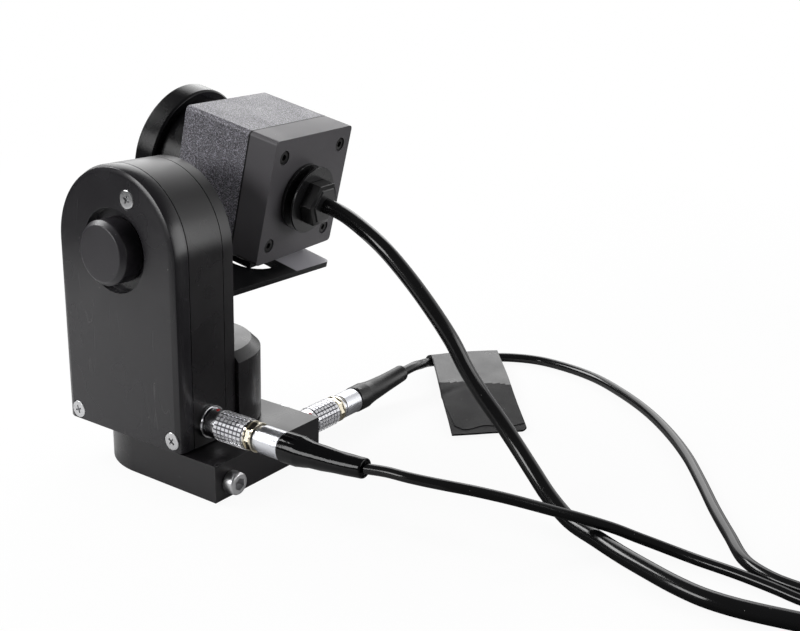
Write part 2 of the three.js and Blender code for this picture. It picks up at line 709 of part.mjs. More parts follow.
// Front cover with a rounded front edge on its sides and arch
const coverDepth = HOUSE_SEAM - CLEAR / 2 - HOUSE_FRONT;
const rounded = slab(houseShape(0, HOUSE_LOW - HOUSE_FILLET * 2), HOUSE_FRONT + HOUSE_FILLET,
  HOUSE_FRONT + coverDepth + HOUSE_FILLET, {
    curveSegments: FACETS_ARCH, bevelEnabled: true, bevelSize: HOUSE_FILLET,
    bevelThickness: HOUSE_FILLET, bevelOffset: -HOUSE_FILLET, bevelSegments: HOUSE_FILLET_STEPS,
  });
const coverBox = block([HOUSE_X - HOUSE_HALF * 2, HOUSE_X + HOUSE_HALF * 2],
  [HOUSE_FRONT - OVERCUT, HOUSE_FRONT + coverDepth], [HOUSE_LOW, TILT_Z * 2]);
const capWell = along(rod(CAP_WELL_RADIUS, -OVERCUT, CAP_WELL_DEPTH, FACETS_LARGE), "+y",
  [HOUSE_X, HOUSE_FRONT, TILT_Z]);
const bearingBore = (from, to) => along(rod(TILT_BEARING_OUTER + CLEAR, from, to, FACETS), "+y",
  [HOUSE_X, 0, TILT_Z]);
add("tilt_front_cover", cut(common(rounded, coverBox), capWell,
  bearingBore(HOUSE_FRONT, HOUSE_SEAM + OVERCUT), ...frontHoles));
const rearWall = cut(slab(houseShape(0, HOUSE_LOW), HOUSE_REAR_SEAM + CLEAR / 2, HOUSE_REAR,
  archOptions), bearingBore(HOUSE_REAR_SEAM - OVERCUT, HOUSE_REAR + OVERCUT), notch);
add("head_frame", cut(join(rearWall, halfDisc, boss), bossBore, ...frontHoles));
frontScrews.forEach((screw, i) => add(`front_cover_screw_${i + 1}`, screw));

// Tilt shaft, cap, bearings and gear, turning together about Y
const onTilt = (geometry) => along(geometry, "+y", [HOUSE_X, 0, TILT_Z]);
add("tilt_axis_cap", onTilt(turned([[0, CAP_FRONT], [CAP_FACE_RADIUS, CAP_FRONT],
  [CAP_RADIUS, CAP_RIM], [CAP_RADIUS, CAP_BACK], [SHAFT_RADIUS + CLEAR, CAP_BACK],
  [SHAFT_RADIUS + CLEAR, CAP_BACK - CAP_BORE_DEPTH], [0, CAP_BACK - CAP_BORE_DEPTH]],
  FACETS_LARGE)));
const tiltBearing = (y) => {
  const [inner, outer] = [SHAFT_RADIUS + CLEAR, TILT_BEARING_OUTER];
  return onTilt(turned([[inner, y], [outer, y], [outer, y + TILT_BEARING_WIDTH],
    [inner, y + TILT_BEARING_WIDTH], [inner, y]], FACETS));
};
add("tilt_bearing_front", tiltBearing(FRONT_BEARING_Y));
add("tilt_bearing_rear", tiltBearing(REAR_BEARING_Y));
const gearAt = (shape, z) => slab(shape, TILT_GEAR_FROM, TILT_GEAR_TO)
  .translate(HOUSE_X, 0, z);
add("tilt_gear", gearAt(gearShape(TILT_GEAR_PITCH, TILT_GEAR_TEETH, SHAFT_RADIUS + CLEAR,
  -QUARTER), TILT_Z));
const tiltPinionZ = TILT_Z - TILT_GEAR_PITCH - TILT_PINION_PITCH - GEAR_SPREAD;
add("tilt_pinion", gearAt(gearShape(TILT_PINION_PITCH, TILT_PINION_TEETH, PINION_BORE,
  QUARTER + HALF_TURN / TILT_PINION_TEETH), tiltPinionZ));

// Tilt gearmotor: upright motor, right-angle gear head and output shaft
const tiltBox = block([HOUSE_X - TILT_BOX_HALF, HOUSE_X + TILT_BOX_HALF],
  [TILT_BOX_FRONT, TILT_BOX_BACK], [TILT_MOTOR_TOP, TILT_BOX_TOP]);
const tiltMotor = rod(TILT_MOTOR_RADIUS, TILT_MOTOR_LOW, TILT_MOTOR_TOP + JOIN_LAP, FACETS)
  .translate(HOUSE_X, TILT_MOTOR_Y, 0);
const tiltOutput = along(rod(MOTOR_SHAFT, TILT_GEAR_FROM, TILT_BOX_FRONT + JOIN_LAP, FACETS_SMALL), "+y",
  [HOUSE_X, 0, tiltPinionZ]);
add("tilt_gearmotor", join(tiltBox, tiltMotor, tiltOutput));

// Control board on the left of the housing
const chips = CHIP_PLACES.map((z) => block([BOARD_X, BOARD_X + BOARD_THICK + CHIP_HEIGHT],
  [(BOARD_FRONT + BOARD_BACK - CHIP_WIDTH) / 2, (BOARD_FRONT + BOARD_BACK + CHIP_WIDTH) / 2],
  [z, z + CHIP_LENGTH]));
add("control_board", join(block([BOARD_X, BOARD_X + BOARD_THICK], [BOARD_FRONT, BOARD_BACK],
  [BOARD_LOW, BOARD_TOP]), ...chips));

// Receptacles and push-pull plugs, drawn along +Z from their mounting face
function receptacle() {
  return turned([[0, -TAIL_DEPTH], [TAIL_RADIUS, -TAIL_DEPTH], [TAIL_RADIUS, SEAT],
    [FLANGE_RADIUS, SEAT], [FLANGE_RADIUS, FLANGE_OUT], [SOCKET_RADIUS, FLANGE_OUT],
    [SOCKET_RADIUS, FLANGE_OUT - SOCKET_DEPTH], [0, FLANGE_OUT - SOCKET_DEPTH]], FACETS);
}
function plugCore() {
  return turned([[0, -PRONG_DEPTH], [PRONG_RADIUS, -PRONG_DEPTH], [PRONG_RADIUS, CORE_START],
    [CORE_RADIUS, CORE_START], [CORE_RADIUS, BOOT_START], [0, BOOT_START]], FACETS);
}
function plugSleeve() {
  const inner = CORE_RADIUS + CLEAR;
  return turned([[inner, SLEEVE_START], [SLEEVE_FRONT_RADIUS, SLEEVE_START],
    [SLEEVE_FRONT_RADIUS, SLEEVE_STEP], [SLEEVE_RADIUS, SLEEVE_STEP], [SLEEVE_RADIUS, SLEEVE_END],
    [RING_RADIUS, SLEEVE_END], [RING_RADIUS, RING_END], [inner, RING_END],
    [inner, SLEEVE_START]], FACETS);
}
function plugBoot(shift) {
  const start = BOOT_START + SEAT;
  const end = BOOT_START + BOOT_LENGTH;
  const profile = [[0, start], [BOOT_COLLAR, start], [BOOT_COLLAR, start + BOOT_COLLAR_LENGTH],
    [BOOT_WAIST, start + BOOT_WAIST_AT]];
  for (let i = 1; i <= BOOT_TAPER_STEPS; i += 1) {
    const share = i / BOOT_TAPER_STEPS;
    profile.push([BOOT_WAIST + (BOOT_NECK - BOOT_WAIST) * share,
      start + BOOT_WAIST_AT + (BOOT_RIM_AT - BOOT_WAIST_AT) * share]);
  }
  profile.push([BOOT_RIM, start + BOOT_RIM_AT], [BOOT_RIM, end], [0, end]);
  const boot = turned(profile, FACETS);
  const p = boot.getAttribute("position");
  for (let i = 0; i < p.count; i += 1) {
    const share = Math.max(0, (p.getZ(i) - start) / BOOT_LENGTH);
    p.setXYZ(i, p.getX(i) + shift[0] * share * share, p.getY(i) + shift[1] * share * share,
      p.getZ(i) + shift[2] * share * share);
  }
  return boot;
}
const headPlace = [HOUSE_X + HOUSE_HALF, HEAD_PLUG_Y, HEAD_PLUG_Z];
const basePlace = [BASE_PLUG_X, BASE_RADIUS, BASE_PLUG_Z];
const plugSets = [
  ["head", "+x", headPlace, [-HEAD_BOOT_SHIFT[2], HEAD_BOOT_SHIFT[1], 0]],
  ["base", "+y", basePlace, [BASE_BOOT_SHIFT[0], -BASE_BOOT_SHIFT[2], 0]],
];
for (const [prefix, direction, place, shift] of plugSets) {
  add(`${prefix}_receptacle`, along(receptacle(), direction, place));
  add(`${prefix}_plug_core`, along(plugCore(), direction, place));
  add(`${prefix}_plug_sleeve`, along(plugSleeve(), direction, place));
  add(`${prefix}_plug_boot`, along(plugBoot(shift), direction, place));
}

// Placing in the tilt frame and in the camera frame
const cameraCentre = [CAMERA_AHEAD, CAMERA_NEAR + CAMERA_HALF, PLATE_TOP + FOOT_HEIGHT + CAMERA_HALF];
const tiltFrame = new THREE.Matrix4().makeTranslation(HOUSE_X, 0, TILT_Z)
  .multiply(new THREE.Matrix4().makeRotationY(LENS_UP));
const cameraFrame = tiltFrame.clone()
  .multiply(new THREE.Matrix4().makeTranslation(...cameraCentre))
  .multiply(new THREE.Matrix4().makeRotationZ(CAMERA_YAW));
const inTilt = (geometry) => weld(geometry).applyMatrix4(tiltFrame);
const inCamera = (geometry) => weld(geometry).applyMatrix4(cameraFrame);

// Camera bracket
const plateBottom = PLATE_TOP - PLATE_THICK;
const plateShape = new THREE.Shape();
plateShape.moveTo(PLATE_FRONT, PLATE_NEAR);
plateShape.lineTo(PLATE_REAR, PLATE_NEAR);
plateShape.lineTo(PLATE_REAR, PLATE_FAR - PLATE_CORNER);
plateShape.absarc(PLATE_REAR - PLATE_CORNER, PLATE_FAR - PLATE_CORNER, PLATE_CORNER, 0, QUARTER);
plateShape.lineTo(PLATE_FRONT + PLATE_CORNER, PLATE_FAR);
plateShape.absarc(PLATE_FRONT + PLATE_CORNER, PLATE_FAR - PLATE_CORNER, PLATE_CORNER, QUARTER,
  HALF_TURN);
plateShape.closePath();
function slotPath(x, half, near, far) {
  const path = new THREE.Path();
  path.absarc(x, far - half, half, 0, HALF_TURN, false);
  path.absarc(x, near + half, half, HALF_TURN, FULL_TURN, false);
  path.closePath();
  return path;
}
const windowHalf = (WINDOW_TO - WINDOW_FROM) / 2;
const windowPath = new THREE.Path();
windowPath.absarc(WINDOW_FROM + windowHalf, WINDOW_NEAR + windowHalf, windowHalf, HALF_TURN,
  FULL_TURN, false);
windowPath.lineTo(WINDOW_TO, WINDOW_FAR);
windowPath.lineTo(WINDOW_FROM, WINDOW_FAR);
windowPath.closePath();
plateShape.holes.push(windowPath);
plateShape.holes.push(slotPath(SLOT_X, SLOT_HALF, cameraCentre[1] - SLOT_NEARWARD,
  cameraCentre[1] + SLOT_FARWARD));
const upright = block([-UPRIGHT_HALF, UPRIGHT_HALF], [PLATE_NEAR, PLATE_NEAR + PLATE_THICK],
  [plateBottom, UPRIGHT_TOP]);
const hubPlace = [0, PLATE_NEAR + PLATE_THICK, 0];
const hubHole = along(rod(HUB_SCREW_SHANK + CLEAR, -OVERCUT, HUB_SCREW_LENGTH + CLEAR,
  FACETS_SMALL), "-y", hubPlace);
add("tilt_shaft", inTilt(cut(along(turned([[0, SHAFT_FRONT], [SHAFT_RADIUS, SHAFT_FRONT],
  [SHAFT_RADIUS, HUB_FROM], [HUB_RADIUS, HUB_FROM], [HUB_RADIUS, HUB_TO], [0, HUB_TO]],
  FACETS_LARGE), "+y", [0, 0, 0]), hubHole)));
add("camera_bracket", inTilt(cut(join(prism(plateShape, plateBottom, PLATE_TOP), upright),
  hubHole)));
add("bracket_screw", inTilt(along(socketScrew(HUB_SCREW_HEAD, HUB_SCREW_HEIGHT, HUB_SCREW_ROUND,
  HUB_SCREW_SHANK, HUB_SCREW_LENGTH, HUB_SCREW_SOCKET, HUB_SCREW_SOCKET_DEPTH), "-y", hubPlace)));

// Camera foot and its screw, in the camera frame
const plateLevel = PLATE_TOP - cameraCentre[2];
const screwHole = rod(CAMERA_SCREW_SHANK + CLEAR, -CAMERA_HALF * 2,
  CAMERA_SCREW_GRIP - CAMERA_HALF + CLEAR, FACETS).translate(SLOT_X, 0, 0);
add("camera_foot", inCamera(cut(block([FOOT_FRONT, FOOT_REAR], [FOOT_NEAR, FOOT_FAR],
  [plateLevel + SEAT, -CAMERA_HALF - SEAT]),
  screwHole)));
const screwHead = plateLevel - PLATE_THICK - SEAT;
add("camera_screw", inCamera(turned([[0, screwHead - CAMERA_SCREW_HEIGHT],
  [CAMERA_SCREW_HEAD, screwHead - CAMERA_SCREW_HEIGHT], [CAMERA_SCREW_HEAD, screwHead],
  [CAMERA_SCREW_SHANK, screwHead], [CAMERA_SCREW_SHANK, CAMERA_SCREW_GRIP - CAMERA_HALF],
  [0, CAMERA_SCREW_GRIP - CAMERA_HALF]], FACETS).translate(SLOT_X, 0, 0)));

// Camera body: square tube with a front wall and corner posts
const capSeam = CAMERA_HALF_LENGTH - REAR_CAP_DEPTH;
function squareShape(half, edge) {
  const shape = new THREE.Shape();
  shape.moveTo(half - edge, -half);
  shape.absarc(half - edge, edge - half, edge, -QUARTER, 0, false);
  shape.absarc(half - edge, half - edge, edge, 0, QUARTER, false);
  shape.absarc(edge - half, half - edge, edge, QUARTER, HALF_TURN, false);
  shape.absarc(edge - half, edge - half, edge, HALF_TURN, 3 * QUARTER, false);
  shape.closePath();
  return shape;
}
// Square section in Y and Z, running along X
function beam(half, edge, from, to) {
  const body = prism(squareShape(half, edge), from, to, { curveSegments: FACETS_EDGE });
  body.applyMatrix4(new THREE.Matrix4().set(0, 0, 1, 0, 1, 0, 0, 0, 0, 1, 0, 0, 0, 0, 0, 1));
  return body;
}
const hollow = (from, to, inner) => {
  let core = block([from, to], [-inner, inner], [-inner, inner]);
  for (const sy of [-1, 1]) {
    for (const sz of [-1, 1]) {
      const span = (side) => (side < 0 ? [-CAMERA_HALF, CORNER_POST - CAMERA_HALF]
        : [CAMERA_HALF - CORNER_POST, CAMERA_HALF]);
      core = cut(core, block([from - OVERCUT, to + OVERCUT], span(sy), span(sz)));
    }
  }
  return core;
};
const capScrewPlaces = [];
for (const sy of [-1, 1]) {
  for (const sz of [-1, 1]) {
    capScrewPlaces.push([CAMERA_HALF_LENGTH, sy * (CAMERA_HALF - CAP_SCREW_IN_Y),
      sz * (CAMERA_HALF - CAP_SCREW_IN_Z)]);
  }
}
const capHoleEnd = CAP_SCREW_LENGTH + CLEAR * 2;
const capHoles = capScrewPlaces.map((place) => along(turned([[0, -OVERCUT],
  [CAP_SCREW_HEAD + CLEAR, -OVERCUT], [CAP_SCREW_HEAD + CLEAR, CAP_SCREW_SINK],
  [CAP_SCREW_SHANK + CLEAR, CAP_SCREW_SINK], [CAP_SCREW_SHANK + CLEAR, capHoleEnd],
  [0, capHoleEnd]], FACETS_SMALL), "-x", place));
const lensPlace = [0, LENS_OFFSET_Y, LENS_OFFSET_Z];
const onLens = (geometry) => along(geometry, "+x", lensPlace);
const cameraInner = CAMERA_HALF - CAMERA_WALL;
add("camera_body", inCamera(cut(beam(CAMERA_HALF, CAMERA_EDGE, -CAMERA_HALF_LENGTH, capSeam - SEAT),
  hollow(CAMERA_WALL - CAMERA_HALF_LENGTH, capSeam + OVERCUT, cameraInner),
  onLens(rod(BARREL_SPIGOT + CLEAR, -CAMERA_HALF_LENGTH - OVERCUT,
    BARREL_SPIGOT_DEPTH - CAMERA_HALF_LENGTH, FACETS)),
  screwHole, ...capHoles)));
const glandPlace = [CAMERA_HALF_LENGTH, GLAND_Y, GLAND_Z];
const onGland = (geometry) => along(geometry, "+x", glandPlace);
add("camera_rear_cap", inCamera(cut(beam(CAMERA_HALF, CAMERA_EDGE, capSeam + SEAT,
  CAMERA_HALF_LENGTH),
  hollow(capSeam - OVERCUT, CAMERA_HALF_LENGTH - REAR_CAP_WALL, cameraInner),
  onGland(rod(GLAND_THREAD + CLEAR, -REAR_CAP_WALL - OVERCUT, OVERCUT)), ...capHoles)));
capScrewPlaces.forEach(([x, y, z], i) => add(`cap_screw_${i + 1}`, inCamera(along(cut(
  turned([[0, 0], [CAP_SCREW_HEAD, 0], [CAP_SCREW_HEAD, CAP_SCREW_SINK - CLEAR * 2],
    [CAP_SCREW_SHANK, CAP_SCREW_SINK - CLEAR * 2], [CAP_SCREW_SHANK, CAP_SCREW_LENGTH],
    [0, CAP_SCREW_LENGTH]], FACETS_SMALL),
  turned([[0, -OVERCUT], [CAP_SCREW_SOCKET, -OVERCUT], [CAP_SCREW_SOCKET, CAP_SCREW_SOCKET_DEPTH],
    [0, CAP_SCREW_SOCKET_DEPTH]], FACETS_HEX)), "-x", [x - CLEAR, y, z]))));

// Lens barrel, ring and glass
const barrelFront = RING_BACK + SEAT;
const bodyFront = -CAMERA_HALF_LENGTH - SEAT;
add("lens_barrel", inCamera(onLens(turned([[BARREL_BORE, RING_FRONT + LENS_RING_BEVEL],
  [LENS_RING_BORE - CLEAR, RING_FRONT + LENS_RING_BEVEL], [LENS_RING_BORE - CLEAR, barrelFront],
  [BARREL_RADIUS, barrelFront], [BARREL_RADIUS, bodyFront], [BARREL_SPIGOT, bodyFront],
  [BARREL_SPIGOT, BARREL_SPIGOT_DEPTH + bodyFront], [BARREL_BORE, BARREL_SPIGOT_DEPTH + bodyFront],
  [BARREL_BORE, RING_FRONT + LENS_RING_BEVEL]], FACETS_LARGE))));
add("lens_ring", inCamera(onLens(turned([[LENS_RING_BORE_FRONT, RING_FRONT],
  [LENS_RING_RADIUS - LENS_RING_BEVEL, RING_FRONT],
  [LENS_RING_RADIUS, RING_FRONT + LENS_RING_BEVEL],
  [LENS_RING_RADIUS, RING_BACK - LENS_RING_BEVEL],
  [LENS_RING_RADIUS - LENS_RING_BEVEL, RING_BACK], [LENS_RING_BORE, RING_BACK],
  [LENS_RING_BORE, RING_FRONT + LENS_RING_CONE],
  [LENS_RING_BORE_FRONT, RING_FRONT]], FACETS_LARGE))));
const glass = [[0, GLASS_FRONT - GLASS_CROWN]];
for (let i = 1; i <= GLASS_STEPS; i += 1) {
  const share = i / GLASS_STEPS;
  glass.push([GLASS_RADIUS * share, GLASS_FRONT - GLASS_CROWN * (1 - share * share)]);
}
glass.push([GLASS_RADIUS, GLASS_FRONT + GLASS_THICK], [0, GLASS_FRONT + GLASS_THICK]);
add("lens_glass", inCamera(onLens(turned(glass, FACETS))));

// Gland of the camera lead
add("gland_flange", inCamera(onGland(turned([[GLAND_BORE, -REAR_CAP_WALL],
  [GLAND_THREAD, -REAR_CAP_WALL], [GLAND_THREAD, SEAT], [GLAND_FLANGE, SEAT],
  [GLAND_FLANGE, GLAND_FLANGE_THICK], [GLAND_NECK, GLAND_FLANGE_THICK],
  [GLAND_NECK, WASHER_START], [GLAND_WASHER, WASHER_START], [GLAND_WASHER, WASHER_END],
  [GLAND_THREAD, WASHER_END], [GLAND_THREAD, GLAND_THREAD_END],
  [GLAND_BORE, GLAND_THREAD_END], [GLAND_BORE, -REAR_CAP_WALL]], FACETS_ARCH))));
const nutBody = rod(GLAND_NUT_RADIUS, GLAND_NUT_START, GLAND_NUT_END, FACETS_HEX);
const nutLip = rod(GLAND_LIP_RADIUS, GLAND_THREAD_END, GLAND_LIP_END, FACETS);
add("gland_nut", inCamera(onGland(cut(join(nutBody, nutLip),
  rod(GLAND_THREAD + CLEAR, 0, GLAND_THREAD_END + SEAT, FACETS)))));

// Lead runs: one tube each through its route points
function routeCurve(points) {
  const curve = new THREE.CatmullRomCurve3(points, false, "centripetal");
  curve.arcLengthDivisions = points.length * LOOP_STEPS;
  return curve;
}
function smoothTube(points, radius, sides, steps) {
  const curve = routeCurve(points);
  const round = new THREE.Shape();
  for (let i = 0; i < sides; i += 1) {
    const angle = i * FULL_TURN / sides;
    const [x, y] = [radius * Math.cos(angle), radius * Math.sin(angle)];
    if (i === 0) {
      round.moveTo(x, y);
    } else {
      round.lineTo(x, y);
    }
  }
  round.closePath();
  return orient(new THREE.ExtrudeGeometry(round, { steps, bevelEnabled: false, extrudePath: curve }));
}

// Wound coil: layers spiral in and out, and climb about each reversal
function coilPath(spec, radius, height) {
  const pitch = radius * 2 + COIL_SPACE;
  const total = spec.loops * spec.layers + EXTRA_TURN_SHARE;
  const outer = spec.mid + pitch * spec.loops / 2;
  const at = (turns) => {
    const layer = Math.min(Math.floor(turns / spec.loops), spec.layers - 1);
    const wound = turns - layer * spec.loops;
    const r = layer % 2 === 0 ? outer - pitch * wound : outer - pitch * (spec.loops - wound);
    let rise = 0;
    for (let i = 1; i < spec.layers; i += 1) {
      const from = (turns - (i * spec.loops - CLIMB_SHARE)) / (2 * CLIMB_SHARE);
      rise += Math.min(1, Math.max(0, from));
    }
    const angle = spec.start * DEGREES + spec.turn * turns * FULL_TURN;
    return new THREE.Vector3(spec.x + r * Math.cos(angle), spec.y + r * Math.sin(angle),
      height + rise * pitch);
  };
  const count = Math.round(total * LOOP_STEPS);
  const points = Array.from({ length: count + 1 }, (_, i) => at(i / LOOP_STEPS));
  const level = (a, b) => new THREE.Vector3(b.x - a.x, b.y - a.y, 0).normalize();
  const begin = level(points[0], points[1]);
  const last = points[points.length - 1];
  const finish = level(points[points.length - 2], last);
  const straight = radius * 2;
  const entry = points[0].clone().addScaledVector(begin, -straight * 2);
  const tail = TAIL_SHARES.map((share) => {
    const point = last.clone().addScaledVector(finish, TAIL_LENGTH * share);
    point.z += (END_PLUG_HEIGHT - last.z) * THREE.MathUtils.smoothstep(share, 0, 1);
    return point;
  });
  tail.push(tail[tail.length - 1].clone().addScaledVector(finish, straight));
  return {
    points: [entry, ...points, ...tail], entry, begin, finish, end: tail[tail.length - 1], outer,
    steps: count + TAIL_SHARES.length + 1, inner: outer - pitch * spec.loops,
    top: height + pitch * (spec.layers - 1),
  };
}
function leastGap(points, radius) {
  let least = Infinity;
  const skip = Math.ceil(LOOP_STEPS * GAP_SHARE);
  for (let i = 0; i < points.length; i += 1) {
    for (let j = i + skip; j < points.length; j += 1) {
      least = Math.min(least, points[i].distanceTo(points[j]) - radius * 2);
    }
  }
  return least;
}
const vector = (place) => new THREE.Vector3(...place);
const alongGland = (reach) => vector(glandPlace).add(vector([reach, 0, 0])).applyMatrix4(cameraFrame);
const bootEnd = BOOT_START + BOOT_LENGTH + CORD_GAP;
const mouths = {
  camera: [alongGland(GLAND_LIP_END + CORD_GAP), alongGland(GLAND_LIP_END + CORD_LEAD_IN)],
  head: [vector(headPlace).add(vector(HEAD_BOOT_SHIFT)).add(vector([bootEnd, 0, 0]))],
  base: [vector(basePlace).add(vector(BASE_BOOT_SHIFT)).add(vector([0, bootEnd, 0]))],
};
const runs = {};
const coilSets = [
  ["camera", CAMERA_COIL, CAMERA_LEAD, CAMERA_ROUTE, CAMERA_STEPS],
  ["head", HEAD_COIL, HEAD_LEAD, HEAD_ROUTE, HEAD_STEPS],
  ["base", BASE_COIL, BASE_LEAD, BASE_ROUTE, BASE_STEPS],
];
for (const [prefix, spec, radius, route, steps] of coilSets) {
  const coil = coilPath(spec, radius, radius + TIE_THICK + TIE_CLEAR);
  console.log(prefix, "coil least gap", leastGap(coil.points, radius).toFixed(2));
  const meet = [CORD_GAP + CORD_LEAD_IN, CORD_GAP].map((back) =>
    coil.entry.clone().addScaledVector(coil.begin, -back));
  runs[prefix] = [...mouths[prefix], ...route.map(vector), ...meet];
  add(`${prefix}_lead_run`, smoothTube(runs[prefix], radius, CORD_SIDES, steps));
  add(`${prefix}_lead_coil`, smoothTube(coil.points, radius, LOOP_SIDES, coil.steps));
  const plug = turned([[0, CLEAR], [radius + CLEAR, CLEAR], [END_PLUG_NECK, END_PLUG_BOOT],
    [END_PLUG_RADIUS, END_PLUG_BOOT], [END_PLUG_RADIUS, END_PLUG_SHELL],
    [END_PLUG_FRONT, END_PLUG_SHELL], [END_PLUG_FRONT, END_PLUG_LENGTH], [0, END_PLUG_LENGTH]],
  FACETS_SMALL);
  plug.rotateY(QUARTER);
  plug.rotateZ(Math.atan2(coil.finish.y, coil.finish.x));
  plug.translate(coil.end.x, coil.end.y, coil.end.z);
  add(`${prefix}_lead_connector`, plug);
  const from = coil.inner - radius - TIE_CLEAR;
  const to = coil.outer + radius + TIE_CLEAR;
  const topside = coil.top + radius + TIE_CLEAR;
  const band = cut(
    block([from - TIE_THICK, to + TIE_THICK], [-TIE_WIDTH / 2, TIE_WIDTH / 2],
      [0, topside + TIE_THICK]),
    block([from, to], [-TIE_WIDTH, TIE_WIDTH], [TIE_THICK, topside]));
  band.rotateZ(spec.start * DEGREES + HALF_TURN);
  add(`${prefix}_lead_tie`, band.translate(spec.x, spec.y, 0));
}

// Tape flag: profile hooks over the lead, then runs forward on the floor
const flagCurve = routeCurve(runs.base);
const flagPoints = flagCurve.getSpacedPoints(FLAG_SAMPLES);
const nearestShare = ([x, y]) => {
  let best = 0;
  flagPoints.forEach((point, i) => {
    const held = flagPoints[best];
    if (Math.hypot(point.x - x, point.y - y) < Math.hypot(held.x - x, held.y - y)) {
      best = i;
    }
  });
  return best / FLAG_SAMPLES;
};
const flagShape = new THREE.Shape();
const hook = (radius, share) => [radius * Math.cos(share * HALF_TURN),
  FLAG_LEVEL + radius * Math.sin(share * HALF_TURN)];
flagShape.moveTo(FLAG_TOUCH + FLAG_RUN, FLAG_LIFT);
for (let i = FLAG_RUN_STEPS; i >= 0; i -= 1) {
  flagShape.lineTo(FLAG_TOUCH + FLAG_RUN * i / FLAG_RUN_STEPS, FLAG_LIFT + FLAG_THICK);
}
for (let i = 0; i <= FLAG_ARC_STEPS; i += 1) {
  flagShape.lineTo(...hook(FLAG_LOOP + FLAG_THICK, i / FLAG_ARC_STEPS));
}
flagShape.lineTo(-FLAG_LOOP - FLAG_THICK, FLAG_LIFT);
flagShape.lineTo(-FLAG_LOOP, FLAG_LIFT);
for (let i = FLAG_ARC_STEPS; i >= 0; i -= 1) {
  flagShape.lineTo(...hook(FLAG_LOOP, i / FLAG_ARC_STEPS));
}
for (let i = 0; i < FLAG_RUN_STEPS; i += 1) {
  flagShape.lineTo(FLAG_TOUCH + FLAG_RUN * i / FLAG_RUN_STEPS, FLAG_LIFT);
}
flagShape.closePath();
const flag = weld(prism(flagShape, 0, 1, { steps: FLAG_STEPS }));
const [shareFrom, shareTo] = [nearestShare(FLAG_FROM), nearestShare(FLAG_TO)];
const flagVertices = flag.getAttribute("position");
for (let i = 0; i < flagVertices.count; i += 1) {
  const [reach, lift, side] = [flagVertices.getX(i), flagVertices.getY(i), flagVertices.getZ(i)];
  const share = shareFrom + (shareTo - shareFrom) * side;
  const centre = flagCurve.getPointAt(share);
  const tangent = flagCurve.getTangentAt(share);
  const front = new THREE.Vector3(tangent.y, -tangent.x, 0).normalize();
  const near = Math.min(reach, FLAG_TOUCH);
  const place = centre.clone().addScaledVector(front, near);
  const forward = Math.max(0, reach - FLAG_TOUCH) * (1 + (FLAG_RIGHT_SHARE - 1) * side);
  const heading = (FLAG_HEADING_LEFT + (FLAG_HEADING_RIGHT - FLAG_HEADING_LEFT) * side) * DEGREES;
  place.add(new THREE.Vector3(Math.cos(heading), Math.sin(heading), 0).multiplyScalar(forward));
  const raised = lift > FLAG_LIFT + FLAG_THICK + WELD ? centre.z - FLAG_LEVEL : 0;
  flagVertices.setXYZ(i, place.x, place.y, lift + raised);
}
add("lead_flag", orient(flag));

export default part;
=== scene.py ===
import math

import bmesh
import bpy
from mathutils import Matrix, Vector


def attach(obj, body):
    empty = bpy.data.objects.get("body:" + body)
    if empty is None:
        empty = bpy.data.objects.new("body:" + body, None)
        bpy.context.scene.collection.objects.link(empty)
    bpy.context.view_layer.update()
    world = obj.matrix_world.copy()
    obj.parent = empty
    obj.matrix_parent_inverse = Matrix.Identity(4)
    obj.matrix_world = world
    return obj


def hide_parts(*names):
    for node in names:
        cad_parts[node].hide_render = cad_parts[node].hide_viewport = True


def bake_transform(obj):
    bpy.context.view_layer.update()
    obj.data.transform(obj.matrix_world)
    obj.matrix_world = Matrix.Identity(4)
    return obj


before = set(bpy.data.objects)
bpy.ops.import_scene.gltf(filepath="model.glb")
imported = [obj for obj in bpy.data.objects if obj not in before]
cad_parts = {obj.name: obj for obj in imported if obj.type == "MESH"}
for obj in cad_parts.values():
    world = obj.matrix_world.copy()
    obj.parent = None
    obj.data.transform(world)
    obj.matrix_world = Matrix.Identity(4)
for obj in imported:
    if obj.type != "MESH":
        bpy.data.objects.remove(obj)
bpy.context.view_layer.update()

# Sizes are written in millimetres and made metres where a mesh is finished
MM = 0.001

# Camera of the photograph
CAMERA_PLACE = (244.452, -236.282, 153.560)
CAMERA_TURN = (72.5152, -1.4417, 35.3133)
FOCAL_PIXELS = 1099.157
IMAGE_WIDTH = 800
IMAGE_HEIGHT = 631
CENTRE_PIXEL = (390.957, 311.754)
SENSOR = 36.0
CLIP = (0.01, 60)

# Tilt and camera frames
HOUSE_X = -3.08
HOUSE_HALF = 25.44
HOUSE_FRONT = -25.2
TILT_Z = 71.1
LENS_UP = 0.228
CAMERA_YAW = 0.0801
CAMERA_CENTRE = (0.13, 36.4, 14.86)
CAMERA_HALF_LENGTH = 18.2
REAR_CAP_DEPTH = 10.6
GLAND_PLACE = (CAMERA_HALF_LENGTH, -2.35, 0.2)
LENS_PLACE = (0, -0.65, -1.5)

# Plugs, their boots and the places where the leads leave them
HEAD_PLACE = (HOUSE_X + HOUSE_HALF, -12.6, 19.2)
BASE_PLACE = (26.6, 24.25, 6.0)
HEAD_SHIFT = (0, 2.3, 0.2)
BASE_SHIFT = (2, 0, 2.8)
BOOT_START = 30.05
BOOT_LENGTH = 27.3
BOOT_END = BOOT_START + BOOT_LENGTH
LIP_END = 10.0
CORD_GAP = 0.5
LEAD_IN = 3.0

